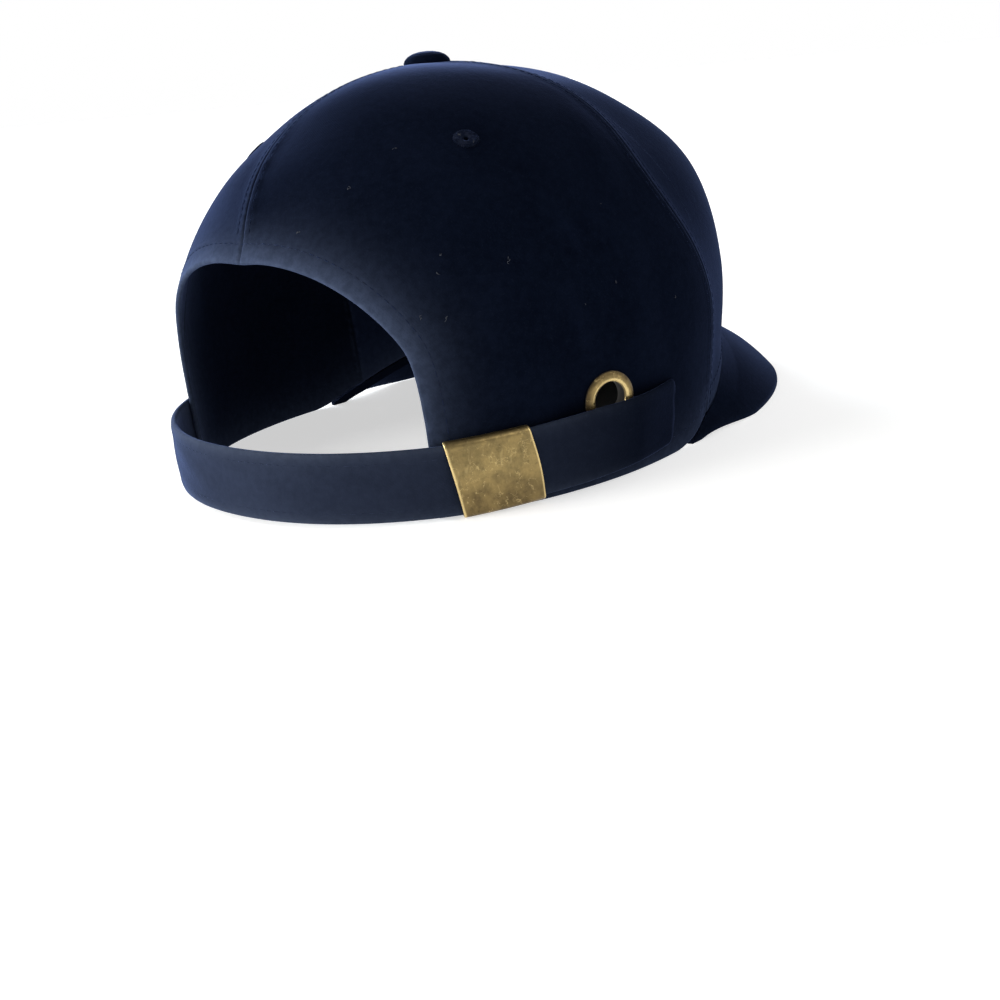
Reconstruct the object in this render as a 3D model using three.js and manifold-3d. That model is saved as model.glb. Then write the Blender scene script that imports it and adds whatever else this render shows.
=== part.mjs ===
// Cap with a curved peak, an open rear arch, a cloth strap and a brass clasp.
// Millimetres, +Z up. The peak points to -Y, the wearer's right is -X, the hem rests on Z = 0.
import * as THREE from 'three';
import { mergeVertices } from 'three/addons/utils/BufferGeometryUtils.js';
import Module from 'manifold-3d';

const wasm = await Module();
wasm.setup();

// Crown: distance from the hem's centre to the cloth, by lift angle above the hem
const CROWN_TABLE = [
  { lift: 0, front: 96.7, side: 81.7, back: 100.9 },
  { lift: 15, front: 100.2, side: 87.0, back: 104.2 },
  { lift: 30, front: 113.0, side: 98.0, back: 110.0 },
  { lift: 45, front: 127.0, side: 108.4, back: 114.6 },
  { lift: 60, front: 127.2, side: 116.0, back: 118.6 },
  { lift: 75, front: 124.9, side: 121.0, back: 122.4 },
  { lift: 90, front: 123.4, side: 123.4, back: 123.4 },
];
const TOP_LIFT = 90;
const OVAL_POWER = { hem: 2.1, top: 2.0, fromLift: 30, toLift: 75 };
const WALL = 1.6;
const GAP = 0.3;

// Seams: turn is the angle from the rear centre, positive to the wearer's right
const FRONT_SEAM = { turn: 110, bow: 6.5, bowLift: 44, bowWidth: 20 };
const REAR_SEAM = { turn: -5, sway: -16.5, fromLift: 36, toLift: 76 };
const SEAM_DIP = { depth: 1.1, width: 7, fadeRadius: 26 };
const TOP_HOLE_RADIUS = 4.2;

// Rear arch and the lower edge over the peak
const ARCH = { height: 72.7, middle: -5, halfTurn: 43.6, power: 2.5 };
const PEAK_TURN = 100;
const PEAK_LIFT = { step: 3.6, fromTurn: 93, toTurn: 109, arch: 29.0, power: 1.5 };

// Peak: plan outline is an oval about the temples, its free edge is arched
const PEAK = {
  halfWidth: 86, startY: -13, frontY: -148, plan: 2.1, tipWidth: 1.2, tipShare: 0.13, ledge: 0.8,
  thick: 3.0, edgeThick: 2.2, sideTop: 2.2, arch: 10.5, archHalf: 56,
};

// Strap: inner face stands off the cloth, lower edge rises towards the tail
const STRAP = { width: 20, thick: 2.0, startTurn: -66, endTurn: 90, cornerRadius: 4 };
const STRAP_TABLE = [
  { turn: -66, standOff: 0.35, low: 1.4 },
  { turn: -50, standOff: 0.35, low: 1.4 },
  { turn: -38, standOff: 0.6, low: 1.4 },
  { turn: 24, standOff: 0.9, low: 1.3 },
  { turn: 34, standOff: 1.3, low: 1.5 },
  { turn: 54, standOff: 1.3, low: 3.0 },
  { turn: 62, standOff: 1.9, low: 3.7 },
  { turn: 76, standOff: 1.9, low: 4.5 },
  { turn: 90, standOff: 0.9, low: 4.9 },
];

// Clasp: a bowed sleeve round the strap
const CLASP = { fromTurn: 37.2, toTurn: 51.8, slant: -1.9, wall: 0.7, bow: 1.3, bowSteps: 8 };

// Grommet in the right panel, with the slight pucker of the cloth round it
const GROMMET = { turn: 69.2, height: 27.0, clear: 0.35, barrelRadius: 5.2 };
const GROMMET_TABLE = [
  { radius: 4.7, rise: -2.9 },
  { radius: 4.7, rise: 0.9 },
  { radius: 5.0, rise: 1.35 },
  { radius: 5.7, rise: 1.55 },
  { radius: 6.6, rise: 1.4 },
  { radius: 7.25, rise: 0.95 },
  { radius: 7.4, rise: 0.45 },
  { radius: 5.2, rise: 0.4 },
  { radius: 5.2, rise: -2.25 },
  { radius: 6.9, rise: -2.3 },
  { radius: 6.9, rise: -2.8 },
];
const PUCKER = { slope: 0.16, reach: 15 };

// Button over the point where the panels meet
const BUTTON_TABLE = [
  { radius: 0, rise: -2.6 },
  { radius: 3.7, rise: -2.6 },
  { radius: 3.7, rise: 0.35 },
  { radius: 7.4, rise: 0.35 },
  { radius: 7.7, rise: 0.7 },
  { radius: 7.3, rise: 1.5 },
  { radius: 6.1, rise: 2.5 },
  { radius: 4.2, rise: 3.2 },
  { radius: 0, rise: 3.6 },
];

// Mesh steps: a panel's rows fan out below the shared lift, and are level above it
const STEPS = { sideAcross: 38, frontAcross: 26, upLow: 7, upHigh: 6, peakAcross: 40, peakOut: 7, strapAlong: 60 };
const SHARED_LIFT = 47;
const ROUND_SEGMENTS = 24;

const rad = THREE.MathUtils.degToRad;
const lerp = THREE.MathUtils.lerp;
const smoothstep = THREE.MathUtils.smoothstep;

function columnCurve(column) {
  return new THREE.SplineCurve(CROWN_TABLE.map((row) => new THREE.Vector2(row.lift, row[column])));
}

const reach = { front: columnCurve('front'), side: columnCurve('side'), back: columnCurve('back') };

function reachAt(column, lift) {
  return reach[column].getPoint(THREE.MathUtils.clamp(lift / TOP_LIFT, 0, 1)).y;
}

// Straight interpolation in a table sorted by turn
function tableAt(table, column, turn) {
  let row = 0;
  while (row < table.length - 2 && turn > table[row + 1].turn) row += 1;
  const low = table[row];
  const high = table[row + 1];
  const share = THREE.MathUtils.clamp((turn - low.turn) / (high.turn - low.turn), 0, 1);
  return lerp(low[column], high[column], share);
}

function frontSeamTurn(lift) {
  const off = (lift - FRONT_SEAM.bowLift) / FRONT_SEAM.bowWidth;
  return FRONT_SEAM.turn - FRONT_SEAM.bow * Math.exp(-off * off);
}

function rearSeamTurn(lift) {
  return REAR_SEAM.turn + REAR_SEAM.sway * smoothstep(lift, REAR_SEAM.fromLift, REAR_SEAM.toLift);
}

// Oval section of the crown before seams and puckers are pressed in
function plainReach(turn, lift) {
  const c = Math.cos(rad(turn));
  const s = Math.sin(rad(turn));
  const along = reachAt(c > 0 ? 'back' : 'front', lift);
  const across = reachAt('side', lift);
  const share = smoothstep(lift, OVAL_POWER.fromLift, OVAL_POWER.toLift);
  const power = lerp(OVAL_POWER.hem, OVAL_POWER.top, share);
  return (Math.abs(c / along) ** power + Math.abs(s / across) ** power) ** (-1 / power);
}

function turnGap(a, b) {
  return Math.abs(((a - b + 540) % 360) - 180);
}

// Inward dip of the cloth along each seam, fading out near the button
function seamDip(turn, lift, radius) {
  const seams = [rearSeamTurn(lift), frontSeamTurn(lift), -frontSeamTurn(lift)];
  const nearest = Math.min(...seams.map((seam) => turnGap(turn, seam)));
  const off = (rad(nearest) * radius) / SEAM_DIP.width;
  const fade = smoothstep(radius, TOP_HOLE_RADIUS, SEAM_DIP.fadeRadius);
  return SEAM_DIP.depth * fade * Math.exp(-off * off);
}

function pucker(turn, height, radius) {
  const along = rad(turn - GROMMET.turn) * radius;
  const up = height - GROMMET.height;
  const spread = (along * along + up * up) / (PUCKER.reach * PUCKER.reach);
  return PUCKER.slope * along * Math.exp(-spread);
}

function radial(turn, lift, distance) {
  const flat = distance * Math.cos(rad(lift));
  const height = distance * Math.sin(rad(lift));
  return new THREE.Vector3(-Math.sin(rad(turn)) * flat, Math.cos(rad(turn)) * flat, height);
}

// Outer skin of the crown, with or without the dips along its seams
function crownSkin(turn, lift, dipped = true) {
  const plain = plainReach(turn, lift);
  const radius = plain * Math.cos(rad(lift));
  const height = plain * Math.sin(rad(lift));
  const dip = dipped ? seamDip(turn, lift, radius) : 0;
  return radial(turn, lift, plain + pucker(turn, height, radius) - dip);
}

function crownNormal(turn, lift) {
  const step = 0.4;
  const low = Math.min(lift, TOP_LIFT - 2 * step);
  const alongTurn = radial(turn + step, low, plainReach(turn + step, low))
    .sub(radial(turn - step, low, plainReach(turn - step, low)));
  const alongLift = radial(turn, low + step, plainReach(turn, low + step))
    .sub(radial(turn, low - step, plainReach(turn, Math.max(low - step, 0))));
  return alongLift.cross(alongTurn).normalize().negate();
}

function crownPoint(turn, lift, out, dipped = true) {
  return crownSkin(turn, lift, dipped).addScaledVector(crownNormal(turn, lift), out);
}

// Lift angle at which the plain crown reaches a height
function liftAtHeight(turn, height) {
  let low = 0;
  let high = TOP_LIFT;
  for (let i = 0; i < 32; i += 1) {
    const middle = (low + high) / 2;
    if (plainReach(turn, middle) * Math.sin(rad(middle)) < height) low = middle;
    else high = middle;
  }
  return (low + high) / 2;
}

function liftAtRadius(turn, radius) {
  let low = 45;
  let high = TOP_LIFT;
  for (let i = 0; i < 32; i += 1) {
    const middle = (low + high) / 2;
    if (plainReach(turn, middle) * Math.cos(rad(middle)) > radius) low = middle;
    else high = middle;
  }
  return (low + high) / 2;
}

// Height of the crown's lower edge: rear arch, flat hem, then raised over the peak
function hemHeight(turn) {
  const fromArch = turnGap(turn, ARCH.middle);
  if (fromArch < ARCH.halfTurn) {
    return ARCH.height * (1 - (fromArch / ARCH.halfTurn) ** ARCH.power) ** (1 / ARCH.power);
  }
  const fromRear = turnGap(turn, 0);
  const step = PEAK_LIFT.step * smoothstep(fromRear, PEAK_LIFT.fromTurn, PEAK_LIFT.toTurn);
  const share = THREE.MathUtils.clamp((fromRear - PEAK_TURN) / (180 - PEAK_TURN), 0, 1);
  return step + PEAK_LIFT.arch * Math.sin((share * Math.PI) / 2) ** PEAK_LIFT.power;
}

function geometryFrom(points, faces) {
  const geometry = new THREE.BufferGeometry();
  const flat = new Float32Array(points.length * 3);
  points.forEach((point, i) => point.toArray(flat, i * 3));
  geometry.setAttribute('position', new THREE.BufferAttribute(flat, 3));
  geometry.setIndex(faces.flat());
  return geometry;
}

// Closed sheet between two grids of points, outer[row][column] and inner[row][column],
// with each quad split along its shorter diagonal
function sheetSolid(outer, inner) {
  const rows = outer.length;
  const columns = outer[0].length;
  const points = [...outer.flat(), ...inner.flat()];
  const shift = rows * columns;
  const at = (row, column) => row * columns + column;
  const faces = [];
  const quad = (a, b, c, d) => {
    const first = points[a].distanceTo(points[c]);
    const second = points[b].distanceTo(points[d]);
    if (first <= second) faces.push([a, b, c], [a, c, d]);
    else faces.push([a, b, d], [b, c, d]);
  };
  for (let r = 0; r < rows - 1; r += 1) {
    for (let c = 0; c < columns - 1; c += 1) {
      quad(at(r, c), at(r, c + 1), at(r + 1, c + 1), at(r + 1, c));
      quad(shift + at(r, c), shift + at(r + 1, c), shift + at(r + 1, c + 1), shift + at(r, c + 1));
    }
  }
  const wall = (a, b) => quad(a, shift + a, shift + b, b);
  for (let c = 0; c < columns - 1; c += 1) {
    wall(at(0, c), at(0, c + 1));
    wall(at(rows - 1, c + 1), at(rows - 1, c));
  }
  for (let r = 0; r < rows - 1; r += 1) {
    wall(at(r + 1, 0), at(r, 0));
    wall(at(r, columns - 1), at(r + 1, columns - 1));
  }
  return faceOut(geometryFrom(points, faces));
}

// Ring section swept along stations: outer[station][i] and inner[station][i] are closed loops
function sleeveSolid(outer, inner) {
  const stations = outer.length;
  const sides = outer[0].length;
  const points = [...outer.flat(), ...inner.flat()];
  const shift = stations * sides;
  const at = (station, i) => station * sides + (i % sides);
  const faces = [];
  const quad = (a, b, c, d) => faces.push([a, b, c], [a, c, d]);
  for (let i = 0; i < sides; i += 1) {
    for (let s = 0; s < stations - 1; s += 1) {
      quad(at(s, i), at(s, i + 1), at(s + 1, i + 1), at(s + 1, i));
      quad(shift + at(s, i), shift + at(s + 1, i), shift + at(s + 1, i + 1), shift + at(s, i + 1));
    }
    const last = stations - 1;
    quad(at(0, i), shift + at(0, i), shift + at(0, i + 1), at(0, i + 1));
    quad(at(last, i), at(last, i + 1), shift + at(last, i + 1), shift + at(last, i));
  }
  return faceOut(geometryFrom(points, faces));
}

// Turn every face over where the enclosed volume comes out negative
function faceOut(geometry) {
  const position = geometry.getAttribute('position');
  const index = geometry.getIndex();
  const [a, b, c] = [new THREE.Vector3(), new THREE.Vector3(), new THREE.Vector3()];
  let volume = 0;
  for (let i = 0; i < index.count; i += 3) {
    a.fromBufferAttribute(position, index.getX(i));
    b.fromBufferAttribute(position, index.getX(i + 1));
    c.fromBufferAttribute(position, index.getX(i + 2));
    volume += a.dot(b.cross(c));
  }
  if (volume < 0) {
    for (let i = 0; i < index.count; i += 3) {
      const kept = index.getX(i + 1);
      index.setX(i + 1, index.getX(i + 2));
      index.setX(i + 2, kept);
    }
  }
  return geometry;
}

function toManifold(geometry) {
  const plain = geometry.clone();
  plain.deleteAttribute('normal');
  plain.deleteAttribute('uv');
  const merged = mergeVertices(plain, 1e-4);
  const vertProperties = Float32Array.from(merged.getAttribute('position').array);
  const triVerts = Uint32Array.from(merged.getIndex().array);
  return new wasm.Manifold(new wasm.Mesh({ numProp: 3, vertProperties, triVerts }));
}

function fromManifold(solid) {
  const mesh = solid.getMesh();
  const geometry = new THREE.BufferGeometry();
  geometry.setAttribute('position', new THREE.BufferAttribute(Float32Array.from(mesh.vertProperties), 3));
  geometry.setIndex(Array.from(mesh.triVerts));
  return geometry;
}

// Share of the way across a panel for each column, spaced evenly along its lower edge
function evenColumns(count, fromTurn, toTurn, blend) {
  const samples = 720;
  const lengths = [0];
  let last = null;
  for (let i = 0; i <= samples; i += 1) {
    const turn = lerp(fromTurn, toTurn, i / samples);
    const height = hemHeight(turn);
    const point = radial(turn, liftAtHeight(turn, height), plainReach(turn, liftAtHeight(turn, height)));
    if (last) lengths.push(lengths[i - 1] + point.distanceTo(last));
    last = point;
  }
  const shares = [];
  let k = 0;
  for (let i = 0; i <= count; i += 1) {
    const want = (lengths[samples] * i) / count;
    while (k < samples - 1 && lengths[k + 1] < want) k += 1;
    const inside = (want - lengths[k]) / (lengths[k + 1] - lengths[k]);
    shares.push(lerp((k + inside) / samples, i / count, blend));
  }
  return shares;
}

// Lift at which a seam meets the crown's lower edge
function seamFoot(seam) {
  let low = 0;
  let high = SHARED_LIFT;
  for (let i = 0; i < 32; i += 1) {
    const middle = (low + high) / 2;
    const turn = seam(middle);
    if (plainReach(turn, middle) * Math.sin(rad(middle)) < hemHeight(turn)) low = middle;
    else high = middle;
  }
  return (low + high) / 2;
}

// Turn that clears a seam by half the gap at a lift
function besideSeam(seam, lift, side) {
  const radius = plainReach(seam(lift), lift) * Math.cos(rad(lift));
  return seam(lift) + side * THREE.MathUtils.radToDeg(GAP / 2 / radius) * 1.15;
}

// Crown panel between two seam functions, as a wall of even thickness
function panelSolid(fromSeam, toSeam, across, blend) {
  const fromFoot = seamFoot(fromSeam);
  const toFoot = seamFoot(toSeam);
  const shares = evenColumns(across, fromSeam(fromFoot), toSeam(toFoot), blend);
  const turnAt = (share, fromLift, toLift) => (
    lerp(besideSeam(fromSeam, fromLift, 1), besideSeam(toSeam, toLift, -1), share)
  );
  const up = STEPS.upLow + STEPS.upHigh;
  const outer = [];
  const inner = [];
  for (let r = 0; r <= up; r += 1) {
    outer.push([]);
    inner.push([]);
  }
  for (const share of shares) {
    const hemTurn = turnAt(share, fromFoot, toFoot);
    const low = liftAtHeight(hemTurn, hemHeight(hemTurn));
    const topLift = TOP_LIFT - 10;
    const top = liftAtRadius(turnAt(share, topLift, topLift), TOP_HOLE_RADIUS);
    for (let r = 0; r <= up; r += 1) {
      const fan = Math.min(r / STEPS.upLow, 1);
      const level = Math.max(r - STEPS.upLow, 0) / STEPS.upHigh;
      const rise = (foot) => lerp(lerp(foot, SHARED_LIFT, fan), top, level);
      const turn = turnAt(share, rise(fromFoot), rise(toFoot));
      outer[r].push(crownPoint(turn, rise(low), 0));
      inner[r].push(crownPoint(turn, rise(low), -WALL));
    }
  }
  shares.forEach((share, c) => {
    if (turnGap(turnAt(share, fromFoot, toFoot), ARCH.middle) > ARCH.halfTurn) inner[0][c].z = outer[0][c].z;
  });
  return sheetSolid(outer, inner);
}

const rightSeam = (lift) => frontSeamTurn(lift);
const leftSeam = (lift) => -frontSeamTurn(lift);
const farLeftSeam = (lift) => 360 - frontSeamTurn(lift);

// Peak: sewn edge follows the hem, free edge is an arched oval
function peakSolid() {
  const across = STEPS.peakAcross;
  const outward = STEPS.peakOut;
  const length = PEAK.startY - PEAK.frontY;
  const top = [];
  const under = [];
  for (let r = 0; r <= outward + 1; r += 1) {
    top.push([]);
    under.push([]);
  }
  for (let c = 0; c <= across; c += 1) {
    const share = c / across;
    const turn = lerp(PEAK_TURN, 360 - PEAK_TURN, share);
    const hem = hemHeight(turn);
    const lift = liftAtHeight(turn, hem);
    const sewn = crownPoint(turn, lift, -WALL);
    const foot = crownPoint(turn, lift, PEAK.ledge);
    const seat = hem - GAP - 0.05;
    sewn.z = seat;
    foot.z = seat;
    const sweep = lerp(-90, 90, share);
    const wide = Math.sign(sweep) * Math.abs(Math.sin(rad(sweep))) ** (2 / PEAK.plan);
    const long = Math.abs(Math.cos(rad(sweep))) ** (2 / PEAK.plan);
    const edge = new THREE.Vector3(PEAK.halfWidth * wide, PEAK.startY - length * long, 0);
    const off = Math.min(Math.abs(edge.x) / PEAK.archHalf, 1);
    edge.z = PEAK.sideTop + PEAK.arch * (1 - off * off) ** 2;
    const tip = foot.clone().add(new THREE.Vector3(Math.sign(foot.x) * PEAK.tipWidth, -PEAK.tipWidth, 0));
    const free = smoothstep(Math.min(share, 1 - share), 0, PEAK.tipShare);
    edge.lerpVectors(tip, edge.clone(), free);
    top[0].push(sewn);
    under[0].push(new THREE.Vector3(sewn.x, sewn.y, Math.max(seat - PEAK.thick, 0)));
    for (let r = 0; r <= outward; r += 1) {
      const w = r / outward;
      const point = foot.clone().lerp(edge, w);
      const thick = lerp(PEAK.thick, PEAK.edgeThick, w ** 5);
      top[r + 1].push(point);
      under[r + 1].push(new THREE.Vector3(point.x, point.y, Math.max(point.z - thick, 0)));
    }
  }
  return sheetSolid(top, under);
}

// Point on the strap: turn along it, height across it, out from its inner face
function strapPoint(turn, height, out) {
  const lift = liftAtHeight(turn, height);
  const point = crownPoint(turn, lift, tableAt(STRAP_TABLE, 'standOff', turn) + out, false);
  return point.setZ(height);
}

function strapSolid() {
  const rows = 4;
  const outer = [];
  const inner = [];
  for (let r = 0; r <= rows; r += 1) {
    outer.push([]);
    inner.push([]);
  }
  const endRadius = plainReach(STRAP.endTurn, 8);
  const cornerTurn = THREE.MathUtils.radToDeg(STRAP.cornerRadius / endRadius);
  for (let c = 0; c <= STEPS.strapAlong; c += 1) {
    const ease = c / STEPS.strapAlong;
    const turn = lerp(STRAP.startTurn, STRAP.endTurn, 1 - (1 - ease) ** 1.25);
    const past = Math.max(turn - (STRAP.endTurn - cornerTurn), 0) / cornerTurn;
    const cut = STRAP.cornerRadius * (1 - Math.sqrt(Math.max(1 - past * past, 0)));
    const low = tableAt(STRAP_TABLE, 'low', turn) + cut;
    const high = tableAt(STRAP_TABLE, 'low', turn) + STRAP.width - cut;
    for (let r = 0; r <= rows; r += 1) {
      const height = lerp(low, high, r / rows);
      outer[r].push(strapPoint(turn, height, STRAP.thick));
      inner[r].push(strapPoint(turn, height, 0));
    }
  }
  return sheetSolid(outer, inner);
}

// Loop round the strap's section at one turn, grown by a margin, bowed on its outer side
function claspLoop(turn, margin) {
  const low = tableAt(STRAP_TABLE, 'low', turn) - margin;
  const high = low + STRAP.width + 2 * margin;
  const loop = [];
  for (let i = 0; i <= CLASP.bowSteps; i += 1) {
    const share = i / CLASP.bowSteps;
    const bow = CLASP.bow * (1 - (2 * share - 1) ** 2);
    const slanted = turn + CLASP.slant * (share - 0.5);
    loop.push(strapPoint(slanted, lerp(low, high, share), STRAP.thick + margin + bow));
  }
  for (let i = 0; i <= CLASP.bowSteps; i += 1) {
    const share = 1 - i / CLASP.bowSteps;
    const slanted = turn + CLASP.slant * (share - 0.5);
    loop.push(strapPoint(slanted, lerp(low, high, share), -margin));
  }
  return loop;
}

function claspSolid() {
  const stations = 7;
  const outer = [];
  const inner = [];
  for (let s = 0; s <= stations; s += 1) {
    const turn = lerp(CLASP.fromTurn, CLASP.toTurn, s / stations);
    outer.push(claspLoop(turn, GAP + CLASP.wall));
    inner.push(claspLoop(turn, GAP));
  }
  return sleeveSolid(outer, inner);
}

function latheFrom(table, closed) {
  const profile = table.map((row) => new THREE.Vector2(row.radius, row.rise));
  if (closed) profile.push(profile[0].clone());
  const geometry = new THREE.LatheGeometry(profile, ROUND_SEGMENTS);
  geometry.deleteAttribute('normal');
  geometry.deleteAttribute('uv');
  return faceOut(mergeVertices(geometry, 1e-4));
}

// Turn a solid made about the Y axis to stand on the crown at the grommet
function placeOnCrown(geometry) {
  const lift = liftAtHeight(GROMMET.turn, GROMMET.height);
  const here = crownSkin(GROMMET.turn, lift);
  const ahead = crownSkin(GROMMET.turn + 1, lift).sub(crownSkin(GROMMET.turn - 1, lift));
  const above = crownSkin(GROMMET.turn, lift + 1).sub(crownSkin(GROMMET.turn, lift - 1));
  const normal = ahead.cross(above).normalize();
  if (normal.dot(here) < 0) normal.negate();
  const spin = new THREE.Quaternion().setFromUnitVectors(new THREE.Vector3(0, 1, 0), normal);
  return geometry.applyQuaternion(spin).translate(here.x, here.y, here.z);
}

const rightPanel = panelSolid(rearSeamTurn, rightSeam, STEPS.sideAcross, 0.35);
const leftPanel = panelSolid(leftSeam, rearSeamTurn, STEPS.sideAcross, 0.35);
const frontPanel = panelSolid(rightSeam, farLeftSeam, STEPS.frontAcross, 0.5);
const holeRadius = GROMMET.barrelRadius + GROMMET.clear;
const punch = placeOnCrown(new THREE.CylinderGeometry(holeRadius, holeRadius, 12, ROUND_SEGMENTS));
const punchedPanel = fromManifold(toManifold(rightPanel).subtract(toManifold(punch)));
const grommetRing = placeOnCrown(latheFrom(GROMMET_TABLE, true));
const button = latheFrom(BUTTON_TABLE, false);
button.rotateX(Math.PI / 2);
button.translate(0, 0, reachAt('side', TOP_LIFT));

const cloth = new THREE.MeshStandardMaterial({ color: 0x141c36, roughness: 0.95, metalness: 0 });
const brass = new THREE.MeshStandardMaterial({ color: 0x8a7138, roughness: 0.42, metalness: 1 });

const cap = new THREE.Group();
function add(name, geometry, material) {
  const mesh = new THREE.Mesh(geometry, material);
  mesh.name = name;
  cap.add(mesh);
}

add('crown_front', frontPanel, cloth);
add('crown_right', punchedPanel, cloth);
add('crown_left', leftPanel, cloth);
add('peak', peakSolid(), cloth);
add('top_button', button, cloth);
add('strap', strapSolid(), cloth);
add('clasp', claspSolid(), brass);
add('grommet', grommetRing, brass);

// Origin under the middle of the cap's footprint
const footprint = new THREE.Box3().setFromObject(cap);
const middle = footprint.getCenter(new THREE.Vector3());
cap.position.set(-middle.x, -middle.y, -footprint.min.z);

export default cap;
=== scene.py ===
"""Looks of a navy cloth cap with a curved peak, an open rear arch, a strap and a brass clasp."""

import math

import bmesh
import bpy
import numpy as np
from bpy.props import FloatProperty, FloatVectorProperty, PointerProperty
from mathutils import Matrix, Vector, kdtree


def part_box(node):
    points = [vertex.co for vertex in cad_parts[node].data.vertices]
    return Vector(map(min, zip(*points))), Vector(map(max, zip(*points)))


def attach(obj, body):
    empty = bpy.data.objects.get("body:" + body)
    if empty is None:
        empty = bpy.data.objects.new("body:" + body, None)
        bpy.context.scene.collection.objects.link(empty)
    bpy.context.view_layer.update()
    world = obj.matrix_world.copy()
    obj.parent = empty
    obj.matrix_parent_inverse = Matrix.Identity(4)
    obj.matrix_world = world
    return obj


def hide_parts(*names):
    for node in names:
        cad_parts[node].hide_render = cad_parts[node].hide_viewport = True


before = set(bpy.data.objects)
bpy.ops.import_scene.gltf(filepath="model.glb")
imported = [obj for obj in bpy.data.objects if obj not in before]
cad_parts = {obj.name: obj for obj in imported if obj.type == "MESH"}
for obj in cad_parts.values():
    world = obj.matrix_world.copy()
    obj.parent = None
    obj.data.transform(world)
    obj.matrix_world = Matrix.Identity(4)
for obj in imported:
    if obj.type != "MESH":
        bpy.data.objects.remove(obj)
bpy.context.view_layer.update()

bl_info = {
    "name": "Navy strap-back cap",
    "version": (1, 0, 0),
    "blender": (4, 5, 0),
    "location": "View3D > Sidebar > Cap",
    "description": "Builds the looks of a cloth cap with a brass clasp round its packed frame",
    "category": "Object",
}

BODY = "root"
CLOTH_SLOT = "navy_cloth"
BRASS_SLOT = "antique_brass"

# The button stands over the hem's centre, so its box gives the place of the hem's frame
BUTTON_BOX = [np.array(corner) * 1000 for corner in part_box("top_button")]
HEM_CENTRE = (BUTTON_BOX[0] + BUTTON_BOX[1]) / 2 * np.array([1, 1, 0])

# Crown in millimetres: rear is +Y, the wearer's right is -X; distance from the hem's centre by lift angle
CROWN_TABLE = (
    dict(lift=0, front=96.7, side=81.7, back=100.9),
    dict(lift=15, front=100.2, side=87.0, back=104.2),
    dict(lift=30, front=113.0, side=98.0, back=110.0),
    dict(lift=45, front=127.0, side=108.4, back=114.6),
    dict(lift=60, front=127.2, side=116.0, back=118.6),
    dict(lift=75, front=124.9, side=121.7, back=123.2),
    dict(lift=90, front=123.4, side=123.4, back=123.4),
)
CROWN = {name: np.array([row[name] for row in CROWN_TABLE]) for name in ("front", "side", "back")}
TOP_LIFT = 90.0
APEX_HEIGHT = CROWN["side"][-1]
OVAL_POWER = dict(hem=2.1, top=2.0, from_lift=30, to_lift=75)
SHARED_LIFT = 47.0
WALL = 1.6
TOP_HOLE_RADIUS = 4.2
# Cloth for each radian of lift on the flat cloth map
LIFT_LENGTH = 108
# Points along the whole lower edge, along the arch and along a fine measure of length
HEM_POINTS = 1600
ARCH_POINTS = 900
FINE_POINTS = 4000
# Steps of each search by halving
HALVINGS = 32
# How the vertices of a crown panel are laid
PANEL = dict(
    crowding=0.62, even_share=0.3, samples=3000, low_power=1.35, top_lift=80.0, inner_relief=0.4,
    hem_bends=6, hem_smooth=3, side_columns=190, front_columns=170,
)
# Cutter of the holes: sides, and depth in metres
PUNCH = dict(sides=64, depth=0.014)

# Seams: turn is the angle from the rear centre, positive to the wearer's right
FRONT_SEAM = dict(turn=110, bow=11, bow_lift=50, bow_width=15)
REAR_SEAM = dict(turn=-5, sway=-21, from_lift=39, to_lift=73)
SEAM_DIP = dict(depth=1.1, width=7, fade_radius=26)

# Rear arch and the lower edge over the peak
ARCH = dict(
    height=72.7, middle=-5, half_turn=43.6, power=2.5, leg_turn=37.8, leg_draw=3.1, leg_soft=0.6,
)
PEAK_TURN = 100
PEAK_LIFT = dict(step=3.6, from_turn=93, to_turn=109, arch=29.0, power=1.5)
PEAK = dict(
    half_width=86, start_y=-13, front_y=-148, plan=2.1, tip_width=1.2, tip_share=0.10, ledge=0.8,
    thick=3.0, edge_thick=2.2, thin_power=5, side_top=2.2, arch=10.5, arch_half=56, sewn_gap=0.35,
    crowding=0.5, puff=0.5, rim=0.6, rim_roll=1.1, rim_bends=8,
    cove_rise=5.2, cove_run=9.0, cove_bend=0.5, cove_most=0.7, cove_rows=10,
)
# Back corners of the peak: shares of its edge over which it grows, and stand-offs at the corner and past it
PEAK_CORNER = dict(
    taper_share=0.05, close=(0.1, 0.5), foot=0.15, tip=0.15, cove_share=(0.04, 0.16), lip=(0.6, 0.12),
)

# Strap: inner face stands off the cloth, lower edge rises towards the tail
STRAP = dict(
    width=20.8, thick=2.0, start_turn=-66, end_turn=90, corner_radius=4, radius=95, lift=8.0, row_in=3.4,
)
STRAP_TABLE = (
    dict(turn=-66, stand_off=0.35, low=1.4),
    dict(turn=-50, stand_off=0.35, low=1.4),
    dict(turn=-38, stand_off=0.6, low=1.4),
    dict(turn=24, stand_off=0.9, low=1.0),
    dict(turn=36, stand_off=1.3, low=1.05),
    dict(turn=54, stand_off=1.3, low=2.6),
    dict(turn=62, stand_off=2.6, low=3.4),
    dict(turn=76, stand_off=2.3, low=4.4),
    dict(turn=90, stand_off=0.4, low=4.9),
)
# Painted shade: how far the strap's cloth darkens towards its tail, away from the light
STRAP_PAINTED_SHADE = dict(turn=(10, 30, 50, 62, 74, 84), shade=(0.0, 0.3, 0.4, 0.63, 0.9, 0.97))
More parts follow.
